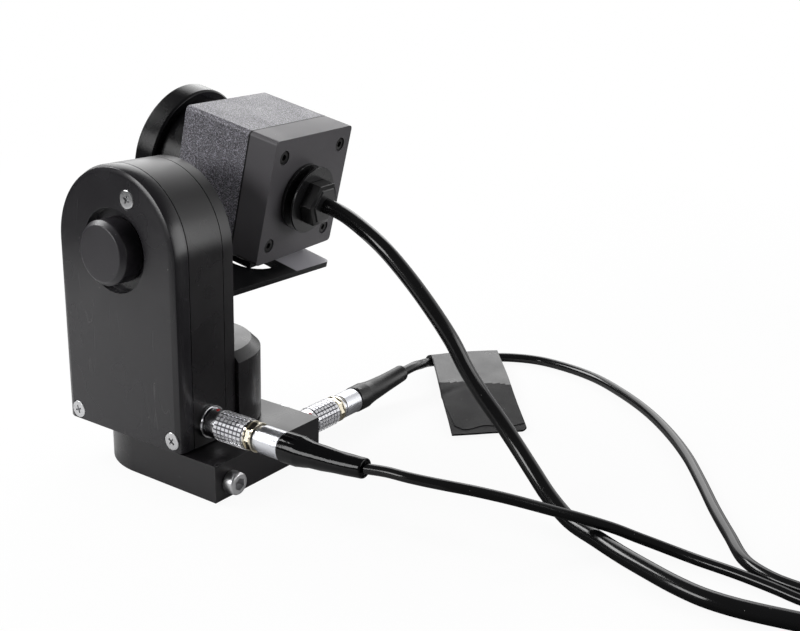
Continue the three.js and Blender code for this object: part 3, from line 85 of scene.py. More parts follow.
# Leads: radius and route to the coil outside the picture
CAMERA_LEAD = 2.5
HEAD_LEAD = 1.55
BASE_LEAD = 1.8
CAMERA_ROUTE = [
    (36.2, 35.8, 77.5), (43.2, 34.2, 75.3), (53, 32.6, 70.8), (60.8, 32.6, 64.8),
    (70, 33.2, 55.8), (78.7, 34.6, 44.9), (83.5, 35.6, 36.9), (89.1, 36.5, 29.4),
    (95.4, 36.9, 22.7), (102.1, 36.1, 16.4), (109.3, 33.9, 10.8), (117.1, 30.4, 6.1),
    (126.2, 26.2, 3), (135.7, 22.4, 2.6), (145.3, 18.3, 2.6), (154.2, 15.2, 2.6),
    (162.7, 12.6, 2.6), (170.7, 11.2, 2.6), (178.1, 11.5, 2.6), (185.2, 12.8, 2.6),
    (192, 14.5, 2.6), (204, 16.8, 3),
]
HEAD_ROUTE = [
    (85.8, -8.9, 19.7), (92.2, -7.9, 19.6), (98, -6.2, 19.3), (103.8, -4.4, 19.1),
    (108.5, -1, 18), (113, 2.8, 16.5), (117.3, 6.9, 14.7), (121.7, 11.1, 12.7),
    (126.1, 15.2, 10.7), (130.7, 19.2, 8.8), (135.5, 22.6, 7.1), (140.5, 25.5, 5.5),
    (145.7, 27.6, 3.9), (151.2, 29, 2.8), (156.8, 29.8, 2), (162.5, 30, 1.6),
    (173.9, 29.6, 1.6), (184.8, 28.3, 1.6), (190.1, 27.3, 1.6), (210, 25.6, 2),
    (235, 25.4, 2.6),
]
BASE_ROUTE = [
    (28.4, 89.3, 8.9), (25.4, 99.5, 6.3), (22.6, 109, 3.8), (23.1, 115.8, 2.4),
    (25.4, 121.2, 2), (32.6, 130, 2), (41.9, 138.5, 2), (53.2, 143.3, 2),
    (66.5, 143.2, 2), (80.7, 139.5, 2), (95.4, 131.3, 2), (109.8, 120.6, 2),
    (123.4, 107.3, 2), (135.8, 92.3, 2), (146.7, 76.1, 2), (156.4, 60.9, 2),
    (165.4, 47.9, 2), (173.7, 36.7, 2), (181.9, 32.5, 2), (189.5, 31.6, 2),
    (199, 31.2, 2.3),
]

# Coils of two layers: middle, mean radius, loops in a layer, first angle and way round
CAMERA_COIL = (240, -16, 27.5, 2, 90, -1)
HEAD_COIL = (273, 49.1, 18, 3, -90, 1)
BASE_COIL = (219, 55.2, 20, 2, -90, 1)
LOOP_STEPS = 24
COIL_SPACE = 0.62
TIE_LIFT = 1.2
EXTRA_TURN = 0.25
CLIMB = 0.25
TAIL = 20.0
TAIL_SHARES = (0.35, 0.75, 1.0)
ENTRY_RADII = 4
END_RADII = 2
END_PLUG_HEIGHT = 4.9
END_PLUG_DEPTH = 3.0
CAMERA_LEAD_SPLIT = (95.4, 36.9, 22.7)

# Spacing of the points along each lead, and the ends of each stretch that bends
CAMERA_STEP = 2.2
HEAD_STEP = 1.8
BASE_STEP = 2.0
TILT_BEND = ((33, 36.2, 78.4), (92, 36.7, 26))
PAN_BEND = ((98, 36.6, 20), (168, 12, 2.6))
HEAD_BEND = ((86, -8.9, 19.7), (165, 30, 1.6))


# Camera
def make_camera():
    data = bpy.data.cameras.new("photo_camera")
    data.sensor_width = SENSOR
    data.lens = FOCAL_PIXELS / IMAGE_WIDTH * SENSOR
    data.shift_x = (IMAGE_WIDTH / 2 - CENTRE_PIXEL[0]) / IMAGE_WIDTH
    data.shift_y = (CENTRE_PIXEL[1] - IMAGE_HEIGHT / 2) / IMAGE_WIDTH
    data.clip_start, data.clip_end = CLIP
    camera = bpy.data.objects.new("photo_camera", data)
    camera.location = Vector(CAMERA_PLACE) * MM
    camera.rotation_euler = [math.radians(turn) for turn in CAMERA_TURN]
    bpy.context.scene.collection.objects.link(camera)
    bpy.context.scene.camera = camera


make_camera()

TILT_FRAME = Matrix.Translation((HOUSE_X, 0, TILT_Z)) @ Matrix.Rotation(LENS_UP, 4, "Y")
CAMERA_FRAME = TILT_FRAME @ Matrix.Translation(CAMERA_CENTRE) @ Matrix.Rotation(CAMERA_YAW, 4, "Z")
TOWARD = {
    way: Matrix.Rotation(turn * math.pi / 2, 4, axis)
    for way, turn, axis in (("+x", 1, "Y"), ("-x", -1, "Y"), ("+y", -1, "X"), ("-y", 1, "X"))
}


def facing(direction, place, base=Matrix.Identity(4)):
    return base @ Matrix.Translation(place) @ TOWARD[direction]


# Nodes and the groups shared by the finishes
def feed(tree, node, entries):
    """Links or sets a node's inputs."""
    for name, value in entries.items():
        if isinstance(value, bpy.types.NodeSocket):
            tree.links.new(value, node.inputs[name])
        else:
            node.inputs[name].default_value = value


def put(tree, kind, entries=None, **settings):
    """A node with its settings and its inputs."""
    made = tree.nodes.new(kind)
    for name, value in settings.items():
        setattr(made, name, value)
    feed(tree, made, entries or {})
    return made


def use(tree, group, **entries):
    return put(tree, "ShaderNodeGroup", entries, node_tree=group).outputs


def coordinates(tree, kind="Object"):
    return tree.nodes.new("ShaderNodeTexCoord").outputs[kind]


def noise(tree, vector, scale, detail=2.0, rough=0.5):
    return put(tree, "ShaderNodeTexNoise", {"Vector": vector, "Scale": scale, "Detail": detail,
                                            "Roughness": rough}).outputs["Fac"]


def mapped(tree, value, low, high, to_low=0.0, to_high=1.0):
    return put(tree, "ShaderNodeMapRange", {"Value": value, "From Min": low, "From Max": high,
                                            "To Min": to_low, "To Max": to_high}).outputs[0]


def patches(tree, vector, scale, low, high, detail=1.0, rough=0.5):
    """Patches of a noise: none below low, full above high."""
    return mapped(tree, noise(tree, vector, scale, detail, rough), low, high)


def maths(tree, operation, first, second=0.5):
    return put(tree, "ShaderNodeMath", {0: first, 1: second}, operation=operation).outputs[0]


def vectors(tree, operation, first, second, result="Value"):
    return put(tree, "ShaderNodeVectorMath", {0: first, 1: second},
               operation=operation).outputs[result]


def axes(tree, vector):
    return put(tree, "ShaderNodeSeparateXYZ", {0: vector}).outputs


def blended(tree, mask, first, second):
    """Mix of two colours, each a socket or three numbers."""
    first, second = (value if isinstance(value, bpy.types.NodeSocket) else (*value, 1.0)
                     for value in (first, second))
    return put(tree, "ShaderNodeMix", {"Factor": mask, 6: first, 7: second},
               data_type="RGBA").outputs[2]


def make_group(name, numbers, outputs, build):
    """A group with a vector and number inputs, the numbers with their usual values."""
    group = bpy.data.node_groups.new(name, "ShaderNodeTree")
    group.interface.new_socket(name="Vector", in_out="INPUT", socket_type="NodeSocketVector")
    for title, value in numbers.items():
        entry = group.interface.new_socket(name=title, in_out="INPUT",
                                           socket_type="NodeSocketFloat")
        entry.default_value = value
    for title in outputs:
        group.interface.new_socket(name=title, in_out="OUTPUT", socket_type="NodeSocketFloat")
    start = group.nodes.new("NodeGroupInput")
    end = group.nodes.new("NodeGroupOutput")
    feed(group, end, build(group, start.outputs))
    return group


# Where marks fade in: from nothing to full, after a noise's scale where they lie in patches
EDGE_TURN = (0.995, 0.80)
EDGE_PATCHES = (0.35, 0.62, 4.0, 0.6)
SCRATCH_STRETCH = (2.6, 2.6, 0.3)
SCRATCH_WIDTH = (0.0035, 0.0)
SCRATCH_PATCHES = (90.0, 0.52, 0.6)
SPECK_SIZE = (0.09, 0.05)
SPECK_PATCHES = (420.0, 0.62, 0.68)
PAINTED_GLINT_PATCHES = (3400.0, 0.47, 0.66, 1.0, 0.6)
SLOW_SPAN = (0.3, 0.7)
UPWARD = (0.88, 0.95)
LIT_BORDER = 0.2
SEAM_EDGE = (0.34, 0.26)
SEAM_SHADE_AND_DIRT = (0.002, 0.002, 0.002)
SCRATCH_COLOUR = (0.5, 0.5, 0.5)
DUST_COLOUR = (0.6, 0.6, 0.58)
THREAD_WANDER = 0.6


def build_grain(tree, given):
    """Fine grain with slow patches, for cast, coated and moulded skins."""
    fine = noise(tree, given["Vector"], given["Grain"], 3.0, 0.62)
    slow = noise(tree, given["Vector"], given["Patch"], 2.0, 0.5)
    return {"Height": fine, "Patches": slow}


def build_wear_and_highlight(tree, given):
    """Rubbed edges with painted edge highlights: where a rounded normal leaves the true one,
    broken up by noise.
    """
    rounded = put(tree, "ShaderNodeBevel", {"Radius": given["Radius"]}, samples=6).outputs[0]
    true = tree.nodes.new("ShaderNodeNewGeometry").outputs["Normal"]
    edge = mapped(tree, vectors(tree, "DOT_PRODUCT", rounded, true), *EDGE_TURN)
    rubbed_and_lit_patches = patches(tree, given["Vector"], given["Break"], *EDGE_PATCHES)
    return {"Mask": maths(tree, "MULTIPLY", maths(tree, "MULTIPLY", edge, rubbed_and_lit_patches),
                          given["Amount"])}


def build_hairlines(tree, given):
    """Thin wandering scratches and small specks of dust."""
    stretched = vectors(tree, "MULTIPLY", given["Vector"], SCRATCH_STRETCH, "Vector")
    bent = noise(tree, stretched, given["Scale"], 1.0, 0.4)
    line = maths(tree, "ABSOLUTE", maths(tree, "SUBTRACT", bent, 0.5))
    thin = mapped(tree, line, *SCRATCH_WIDTH)
    gate = patches(tree, given["Vector"], *SCRATCH_PATCHES)
    spots = put(tree, "ShaderNodeTexVoronoi", {"Vector": given["Vector"],
                                               "Scale": given["Specks"]})
    speck = mapped(tree, spots.outputs["Distance"], *SPECK_SIZE)
    chosen = patches(tree, given["Vector"], *SPECK_PATCHES)
    return {"Lines": maths(tree, "MULTIPLY", thin, gate),
            "Specks": maths(tree, "MULTIPLY", speck, chosen)}


def build_weave(tree, given):
    """Crossed threads of cloth tape."""
    across, along = (
        put(tree, "ShaderNodeTexWave", {"Vector": given["Vector"], "Scale": given["Threads"],
                                        "Distortion": THREAD_WANDER},
            bands_direction=direction).outputs["Fac"] for direction in "XY")
    return {"Height": maths(tree, "MAXIMUM", across, along)}


GRAIN = make_group("skin_grain", {"Grain": 1500.0, "Patch": 60.0}, ("Height", "Patches"),
                   build_grain)
WEAR_AND_HIGHLIGHT = make_group("edge_wear_and_highlight", {"Radius": 0.0004, "Break": 400.0, "Amount": 1.0}, ("Mask",),
                  build_wear_and_highlight)
HAIRLINES = make_group("hairlines_and_dust", {"Scale": 60.0, "Specks": 700.0},
                       ("Lines", "Specks"), build_hairlines)
WEAVE = make_group("tape_weave", {"Threads": 900.0}, ("Height",), build_weave)


def new_material(name):
    made = bpy.data.materials.new(name)
    made.use_nodes = True
    return made, made.node_tree, made.node_tree.nodes["Principled BSDF"]


def finish(name, colour, rough, metallic=0.0, grain=1500.0, relief=0.004, patch=60.0,
           spread=0.06, tint=0.2, wear_and_highlight=None, lines=0.0, specks=0.0, specular=0.5,
           attribute=None, weave=0.0, painted_glints=None, painted_lit_end=None, seam=False):
    """One surface finish, its lengths in millimetres.

    wear_and_highlight: how much of the edges is rubbed and painted as lit, the colour there and
    the width of the edge.
    painted_lit_end: a painted light for upward faces, its colour and the place along Y past which
    they have it.
    """
    made, tree, shader = new_material(name)
    if attribute:
        place = put(tree, "ShaderNodeAttribute", attribute_name=attribute).outputs["Vector"]
    else:
        place = coordinates(tree)
    skin = use(tree, GRAIN, Vector=place, Grain=grain, Patch=patch)
    darker = [part * (1 - tint) for part in colour]
    lighter = [part * (1 + tint) for part in colour]
    shade = blended(tree, skin["Patches"], darker, lighter)
    dull = mapped(tree, skin["Patches"], *SLOW_SPAN, rough - spread, rough + spread)
    # Painted glints: pale specks in the base colour stand for sparkles of light on the coat's
    # relief
    if painted_glints:
        shade = blended(tree, patches(tree, place, *PAINTED_GLINT_PATCHES), shade, painted_glints)
    # Rubbed edges and painted edge highlights: a paler colour along rounded edges
    if wear_and_highlight:
        amount, rubbed_and_lit_colour, width = wear_and_highlight
        mask = use(tree, WEAR_AND_HIGHLIGHT, Vector=place, Radius=width * MM, Amount=amount)["Mask"]
        shade = blended(tree, mask, shade, rubbed_and_lit_colour)
    if lines or specks:
        marks = use(tree, HAIRLINES, Vector=place)
        for kind, share, tone in (("Lines", lines, SCRATCH_COLOUR),
                                  ("Specks", specks, DUST_COLOUR)):
            shade = blended(tree, maths(tree, "MULTIPLY", marks[kind], share), shade, tone)
    # Painted shade and dirt: a dark line along the joint between the camera body and its rear cap
    if seam:
        depth = vectors(tree, "DOT_PRODUCT", place, SEAM_WAY)
        away = maths(tree, "ABSOLUTE", maths(tree, "SUBTRACT", depth, SEAM_AT))
        seam_shade = mapped(tree, away, *(edge * MM for edge in SEAM_EDGE))
        shade = blended(tree, seam_shade, shade, SEAM_SHADE_AND_DIRT)
    # Painted light: upward faces past a place along Y take a pale colour, for light that falls
    # there
    if painted_lit_end:
        painted_lit_colour, reach = painted_lit_end
        top = mapped(tree, axes(tree, coordinates(tree, "Normal"))["Z"], *UPWARD)
        far = mapped(tree, axes(tree, place)["Y"], (reach - LIT_BORDER) * MM,
                     (reach + LIT_BORDER) * MM)
        shade = blended(tree, maths(tree, "MULTIPLY", top, far), shade, painted_lit_colour)
    height = skin["Height"]
    deep = relief
    if weave:
        height = maths(tree, "ADD", height, use(tree, WEAVE, Vector=place)["Height"])
        deep = weave
    bump = put(tree, "ShaderNodeBump", {"Height": height, "Strength": 1.0,
                                        "Distance": deep * MM})
    feed(tree, shader, {"Base Color": shade, "Roughness": dull, "Metallic": metallic,
                        "Normal": bump.outputs["Normal"], "Specular IOR Level": specular})
    return made


# Joint between the camera body and its rear cap: a painted dark line of shade and dirt where the
# two edges meet
SEAM_WAY = CAMERA_FRAME.to_3x3() @ Vector((1, 0, 0))
SEAM_AT = (CAMERA_FRAME @ Vector((CAMERA_HALF_LENGTH - REAR_CAP_DEPTH, 0, 0))).dot(SEAM_WAY) * MM

BLACK_ANODISED = finish("black_anodised", (0.009, 0.008, 0.0095), 0.3, grain=2600, relief=0.0035,
                        wear_and_highlight=(0.45, (0.1, 0.1, 0.105), 0.3), lines=0.02, specks=0.35)
COVER_FINISH = finish("cover_anodised", (0.013, 0.012, 0.0145), 0.25, grain=2600, relief=0.003,
                      wear_and_highlight=(0.4, (0.12, 0.12, 0.125), 0.3), lines=0.06, specks=0.45)
CAP_FINISH = finish("cap_matt_black", (0.02, 0.018, 0.022), 0.38, grain=3000, relief=0.006,
                    wear_and_highlight=(0.9, (0.1, 0.1, 0.105), 0.4), specks=0.3)
# Its pale specks are painted glints of light
POWDER_COAT = finish("powder_coat", (0.065, 0.063, 0.07), 0.42, grain=2300, relief=0.06,
                     patch=120, specks=0.2, specular=0.35, painted_glints=(0.42, 0.41, 0.47), seam=True)
REAR_CAP_FINISH = finish("rear_cap_satin", (0.088, 0.084, 0.091), 0.46, grain=2200, relief=0.02,
                         wear_and_highlight=(0.5, (0.15, 0.15, 0.155), 0.3), specks=0.35, specular=0.4,
                         seam=True)
LENS_BLACK = finish("lens_black", (0.004, 0.0038, 0.0045), 0.25, grain=1800, relief=0.03,
                    wear_and_highlight=(0.3, (0.06, 0.06, 0.06), 0.25), specks=0.2, specular=0.25)
# The bracket's top face past 32.7 mm along Y has a painted light; nearer, in the housing's shadow,
# it keeps its black
PLATE_FINISH = finish("bracket_satin_black", (0.008, 0.008, 0.009), 0.3, grain=2600,
                      spread=0.02, wear_and_highlight=(0.5, (0.2, 0.2, 0.2), 0.2), specks=0.4, specular=0.35,
                      painted_lit_end=((0.5, 0.49, 0.53), 32.7))
GLAND_FINISH = finish("gland_black", (0.01, 0.0098, 0.0105), 0.3, grain=2200, relief=0.01,
                      wear_and_highlight=(1.0, (0.22, 0.22, 0.225), 0.3), specks=0.4)
STEEL = finish("screw_steel", (0.62, 0.62, 0.63), 0.28, metallic=1.0, grain=2400, tint=0.12,
               wear_and_highlight=(0.5, (0.9, 0.9, 0.9), 0.2))
DARK_STEEL = finish("blackened_steel", (0.02, 0.02, 0.02), 0.36, metallic=0.4, grain=2400,
                    wear_and_highlight=(0.8, (0.2, 0.2, 0.2), 0.15))
CHROME = finish("satin_chrome", (0.78, 0.78, 0.80), 0.17, metallic=1.0, grain=1800, relief=0.002,
                patch=220, tint=0.08, spread=0.05, wear_and_highlight=(0.4, (0.95, 0.95, 0.96), 0.15))
SATIN_ALUMINIUM = finish("satin_aluminium", (0.80, 0.81, 0.85), 0.3, metallic=1.0, grain=2200,
                         relief=0.003, patch=160, tint=0.05, spread=0.03)
# Shaded and lit copies of the chrome: painted shade for the knurl's grooves, painted light for its
# pads
GROOVE_SHADED_CHROME = finish("groove_chrome_painted_shade", (0.09, 0.09, 0.1), 0.5, metallic=1.0, grain=2200)
PAD_LIT_CHROME = finish("pad_chrome_painted_light", (0.86, 0.86, 0.89), 0.32, metallic=0.45, grain=2200,
                    relief=0.002, tint=0.05)
WARM_CHROME = finish("warm_nickel", (0.76, 0.70, 0.56), 0.2, metallic=1.0, grain=1800,
                     relief=0.002, tint=0.1, wear_and_highlight=(0.4, (0.9, 0.86, 0.74), 0.15))
BRASS = finish("gear_brass", (0.62, 0.45, 0.18), 0.3, metallic=1.0, relief=0.003,
               wear_and_highlight=(0.5, (0.85, 0.7, 0.4), 0.1))
MOTOR_STEEL = finish("motor_steel", (0.45, 0.45, 0.46), 0.34, metallic=1.0, relief=0.003,
                     tint=0.15, wear_and_highlight=(0.3, (0.7, 0.7, 0.7), 0.35))
CIRCUIT = finish("circuit_green", (0.012, 0.09, 0.035), 0.4, grain=900, relief=0.006, tint=0.4,
                 patch=260)
GLOSSY_BOOT = finish("glossy_boot", (0.003, 0.003, 0.0035), 0.07, grain=500, relief=0.05,
                     patch=180, spread=0.03, specks=0.4, specular=0.3)
MATT_BOOT = finish("matt_boot", (0.009, 0.009, 0.0095), 0.36, grain=1400, relief=0.008, patch=140,
                   specks=0.6)
JACKET = finish("lead_jacket", (0.006, 0.006, 0.0065), 0.15, grain=900, relief=0.006, patch=110,
                spread=0.03, specks=0.8, attribute="rest_place")
TIE_CLOTH = finish("tie_cloth", (0.02, 0.02, 0.022), 0.8, grain=1300, relief=0.03, weave=0.05)
TAPE_BLACK = (0.01, 0.0095, 0.0105)
TAPE_LOOK = {"grain": 800, "relief": 0.02, "patch": 90, "tint": 0.35, "specks": 0.7,
             "attribute": "rest_place"}
TAPE = finish("cloth_tape", TAPE_BLACK, 0.33, weave=0.02, **TAPE_LOOK)
# A copy of the tape that reflects little: painted shade on the flag's far part
TAPE_SHADED = finish("cloth_tape_painted_shade", TAPE_BLACK, 0.42, weave=0.03, specular=0.06, **TAPE_LOOK)
RED_MARK = finish("red_mark", (0.55, 0.02, 0.02), 0.35, grain=1200, relief=0.002, tint=0.1)


def make_glass():
    made, tree, shader = new_material("lens_glass_coated")
    slow = noise(tree, coordinates(tree), 90.0)
    tinted = blended(tree, slow, (0.03, 0.03, 0.07), (0.05, 0.03, 0.06))
    feed(tree, shader, {"Base Color": tinted, "Coat Weight": 0.6,
                        "Roughness": mapped(tree, slow, *SLOW_SPAN, 0.02, 0.06),
                        "Coat Tint": (0.6, 0.55, 1.0, 1.0), "Specular IOR Level": 0.8})
    return made


GLASS = make_glass()


# Finishing a mesh: rounding, shading, place and body
SHARP_CAD = 32.0
FLAT_CAD = 0.4
WELD_CAD = 0.001
WELD_TURNED = 0.0008


def points_in(items):
    return [item for item in items if isinstance(item, bmesh.types.BMVert)]


def edges_in(items):
    return [item for item in items if isinstance(item, bmesh.types.BMEdge)]


def solid(node):
    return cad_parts[node].data


def soften(bm, width, segments=2, sharp=30.0):
    """Rounds every edge that is sharper than the angle."""
    edges = [edge for edge in bm.edges if len(edge.link_faces) == 2
             and edge.calc_face_angle(0.0) > math.radians(sharp)]
    bmesh.ops.bevel(bm, geom=edges, offset=width, offset_type="OFFSET", affect="EDGES",
                    segments=segments, profile=0.5, clamp_overlap=True, material=-1)


def linked(name, bm):
    """The bmesh as an object in the scene."""
    mesh = bpy.data.meshes.new(name)
    bm.to_mesh(mesh)
    bm.free()
    made = bpy.data.objects.new(name, mesh)
    bpy.context.scene.collection.objects.link(made)
    return made


def add_piece(name, bm, body, nodes, material, place=Matrix.Identity(4), scale=MM,
              weighted=True, smooth_angle=32.0):
    """Makes the bmesh an object that rides on a body and stands for its nodes."""
    bm.transform(place)
    bm.transform(Matrix.Scale(scale, 4))
    piece = linked(name, bm)
    for face in piece.data.polygons:
        face.use_smooth = True
    piece.data.set_sharp_from_angle(angle=math.radians(smooth_angle))
    piece.data.materials.append(material)
    if weighted:
        piece.modifiers.new("even_shading", "WEIGHTED_NORMAL").keep_sharp = True
    if body:
        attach(piece, body)
    if nodes:
        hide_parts(*nodes)
    return piece


def refined(node, name, body, material, width):
    """A copy of a CAD solid, its flat faces merged and its edges rounded by width."""
    bm = bmesh.new()
    bm.from_mesh(solid(node))
    bmesh.ops.remove_doubles(bm, verts=bm.verts, dist=WELD_CAD * MM)
    bmesh.ops.dissolve_limit(bm, angle_limit=math.radians(FLAT_CAD), verts=bm.verts,
                             edges=bm.edges)
    soften(bm, width * MM, sharp=SHARP_CAD)
    return add_piece(name, bm, body, [node], material, scale=1.0)


def turned(profile, steps=96, soft=0.0, soft_steps=2, sharp=22.0):
    """A turned shape about Z from radius and height pairs."""
    bm = bmesh.new()
    ring = [bm.verts.new((radius, 0, height)) for radius, height in profile]
    edges = [bm.edges.new(pair) for pair in zip(ring, ring[1:])]
    bmesh.ops.spin(bm, geom=ring + edges, cent=(0, 0, 0), axis=(0, 0, 1), angle=math.tau,
                   steps=steps, use_merge=True)
    bmesh.ops.remove_doubles(bm, verts=bm.verts, dist=WELD_TURNED)
    bmesh.ops.recalc_face_normals(bm, faces=bm.faces)
    if soft:
        soften(bm, soft, soft_steps, sharp)
    return bm


# Leads on smooth curves
def between(p, q, low, high, at):
    return p * ((high - at) / (high - low)) + q * ((at - low) / (high - low))


def smooth_line(points, spacing):
    """Centripetal curve through the points, sampled about every spacing."""
    places = [Vector(point) for point in points]
    places = [places[0] * 2 - places[1], *places, places[-1] * 2 - places[-2]]
    line = []
    for a, b, c, d in zip(places, places[1:], places[2:], places[3:]):
        knots = [0.0]
        for first, second in ((a, b), (b, c), (c, d)):
            knots.append(knots[-1] + max((second - first).length ** 0.5, 1e-4))
        steps = max(1, round((c - b).length / spacing))
        for step in range(steps):
            at = knots[1] + (knots[2] - knots[1]) * step / steps
            first = between(a, b, knots[0], knots[1], at)
            second = between(b, c, knots[1], knots[2], at)
            third = between(c, d, knots[2], knots[3], at)
            line.append(between(between(first, second, knots[0], knots[2], at),
                                between(second, third, knots[1], knots[3], at),
                                knots[1], knots[2], at))
    line.append(places[-2].copy())
    return line


def coil_points(coil, radius):
    """The wound coil, its straight entry and its tail down to the connector."""
    x, y, mean, loops, first, sense = coil
    height = radius + TIE_LIFT
    pitch = radius * 2 + COIL_SPACE
    outer = mean + pitch * loops / 2

    def at(turns):
        # The lower layer winds inward, the upper one outward
        inward = turns if turns < loops else loops - (turns - loops)
        rise = min(1.0, max(0.0, (turns - (loops - CLIMB)) / (2 * CLIMB)))
        angle = math.radians(first) + sense * turns * math.tau
        reach = outer - pitch * inward
        return Vector((x + reach * math.cos(angle), y + reach * math.sin(angle),
                       height + rise * pitch))

    count = round((2 * loops + EXTRA_TURN) * LOOP_STEPS)
    points = [at(step / LOOP_STEPS) for step in range(count + 1)]
    begin = (points[1] - points[0]) * Vector((1, 1, 0))
    way = (points[-1] - points[-2]) * Vector((1, 1, 0))
    begin.normalize()
    way.normalize()
    entry = points[0] - begin * radius * ENTRY_RADII
    tail = []
    for share in TAIL_SHARES:
        point = points[-1] + way * TAIL * share
        eased = share * share * (3 - 2 * share)
        point.z += (END_PLUG_HEIGHT - points[-1].z) * eased
        tail.append(point)
    end = tail[-1] + way * radius * END_RADII
    lead_in = [entry - begin * (CORD_GAP + LEAD_IN), entry - begin * CORD_GAP]
    return lead_in + [entry, *points, *tail, end], end, way


def placed(place, turn):
    return Matrix.Translation(place) @ turn.to_matrix().to_4x4()


def swept(line, radius, sides):
    """A tube along the line: a circle that is extruded and turned from place to place."""
    bm = bmesh.new()
    way = (line[1] - line[0]).normalized()
    turn = way.to_track_quat("Z", "Y")
    last = placed(line[0], turn)
    made = bmesh.ops.create_circle(bm, cap_ends=True, segments=sides, radius=radius, matrix=last)
    edges = list({edge for vert in made["verts"] for edge in vert.link_edges})
    for i in range(1, len(line)):
        ahead = (line[min(i + 1, len(line) - 1)] - line[i - 1]).normalized()
        turn = way.rotation_difference(ahead) @ turn
        way = ahead
        here = placed(line[i], turn)
        grown = bmesh.ops.extrude_edge_only(bm, edges=edges)["geom"]
        edges = edges_in(grown)
        bmesh.ops.transform(bm, matrix=here @ last.inverted(), verts=points_in(grown))
        last = here
    bmesh.ops.contextual_create(bm, geom=edges)
    bmesh.ops.recalc_face_normals(bm, faces=bm.faces)
    return bm


def keep_rest_place(piece):
    """Stores each point's own place, so that a pattern stays on the piece when it bends."""
    stored = piece.data.attributes.new("rest_place", "FLOAT_VECTOR", "POINT")
    for i, vertex in enumerate(piece.data.vertices):
        stored.data[i].vector = vertex.co


def make_lead(name, line, radius, nodes, body=None, bend=None, sides=20):
    """One lead as a tube that rides on a body, or has its place baked into its mesh when a bend is
    given.
    """
    piece = add_piece(name, swept(line, radius, sides), body, nodes, JACKET, weighted=False,
                      smooth_angle=60.0)
    keep_rest_place(piece)
    if bend:
        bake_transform(piece)


# Connector at the end of each lead, drawn from its boot to its front
CONNECTOR = [(3.2, 0.3), (3.3, 1.5), (3.0, 2.2), (3.3, 3.2), (3.1, 4.0), (3.45, 5.0),
             (3.3, 5.8), (3.9, 8.4), (3.9, 11.7), (4.75, 12.3), (4.75, 23.6), (4.4, 24.0),
             (3.2, 24.2), (3.2, 32.8), (2.7, 33), (2.7, 27.5), (0, 27.5)]


def run_of(prefix, mouth, route, coil, radius, spacing):
    """A lead's line, its last point inside the connector, and the pieces at its end."""
    points, end, way = coil_points(coil, radius)
    profile = [(0, CORD_GAP), (radius + CORD_GAP / 2, CORD_GAP), *CONNECTOR]
    plug = add_piece(f"{prefix}_end_plug", turned(profile, 48, 0.12), "base",
                     [f"{prefix}_lead_connector"], CHROME,
                     placed(end, way.to_track_quat("Z", "Y")))
    tie = refined(f"{prefix}_lead_tie", f"{prefix}_tie_strap", "base", TIE_CLOTH, 0.2)
    line = smooth_line([*mouth, *route, *points], spacing)
    return line, [end + way * END_PLUG_DEPTH], [plug, tie]


def make_leads():
    """The three leads. Returns the line of the base lead, which carries the flag."""
    mouth = [CAMERA_FRAME @ (Vector(GLAND_PLACE) + Vector((reach, 0, 0)))
             for reach in (LIP_END + CORD_GAP / 10, LIP_END + LEAD_IN)]
    line, last, pieces = run_of("camera", mouth, CAMERA_ROUTE, CAMERA_COIL, CAMERA_LEAD,
                                CAMERA_STEP)
    # The lead is split into an upper stretch near the tilt and a lower one near the pan
    split = min(range(len(line)), key=lambda i: (line[i] - Vector(CAMERA_LEAD_SPLIT)).length)
    make_lead("camera_lead_upper", line[:split + 1], CAMERA_LEAD, [],
              bend=("tilt_cradle", "pan_head", *TILT_BEND))
    make_lead("camera_lead_lower", line[split:] + last, CAMERA_LEAD,
              ["camera_lead_run", "camera_lead_coil"],
              bend=("pan_head", "base", *PAN_BEND))

    mouth = Vector(HEAD_PLACE) + Vector(HEAD_SHIFT) + Vector((BOOT_END, 0, 0))
    line, last, pieces = run_of("head", [mouth], HEAD_ROUTE, HEAD_COIL, HEAD_LEAD, HEAD_STEP)
    make_lead("head_lead", line + last, HEAD_LEAD, ["head_lead_run", "head_lead_coil"],
              bend=("pan_head", "base", *HEAD_BEND), sides=16)

    mouth = Vector(BASE_PLACE) + Vector(BASE_SHIFT) + Vector((0, BOOT_END, 0))
    line, last, pieces = run_of("base", [mouth], BASE_ROUTE, BASE_COIL, BASE_LEAD, BASE_STEP)
    make_lead("base_lead", line + last, BASE_LEAD, ["base_lead_run", "base_lead_coil"],
              body="base", sides=16)
    return line


base_line = make_leads()

# CAD solids that keep their shape and get rounded edges: node, finish, edge width
ROUNDED = {
    "base": [("base_plate", BLACK_ANODISED, 0.3), ("base_cover_plate", BLACK_ANODISED, 0.2)],
    "pan_head": [("head_frame", BLACK_ANODISED, 0.2), ("tilt_housing_body", BLACK_ANODISED, 0.2),
                 ("tilt_front_cover", COVER_FINISH, 0.2)],
    "tilt_cradle": [("camera_bracket", PLATE_FINISH, 0.25), ("camera_foot", PLATE_FINISH, 0.2),
                    ("camera_screw", STEEL, 0.3), ("camera_body", POWDER_COAT, 0.35),
                    ("camera_rear_cap", REAR_CAP_FINISH, 0.35),
                    ("lens_barrel", LENS_BLACK, 0.2), ("tilt_shaft", STEEL, 0.3)],
}
for body, rows in ROUNDED.items():
    for node, material, width in rows:
        refined(node, f"{node}_shell", body, material, width)

# Hidden solids keep their own mesh and get their finish
HIDDEN = [
    (STEEL, ("pan_spindle", "pan_bearing", "tilt_bearing_front", "tilt_bearing_rear",
             "bracket_screw")),
    (BRASS, ("pan_sun_gear", "pan_pinion", "tilt_gear", "tilt_pinion")),
    (MOTOR_STEEL, ("pan_gearmotor", "tilt_gearmotor")),
    (CIRCUIT, ("control_board",)),
]
for material, nodes in HIDDEN:
    for node in nodes:
        solid(node).materials.clear()
        solid(node).materials.append(material)


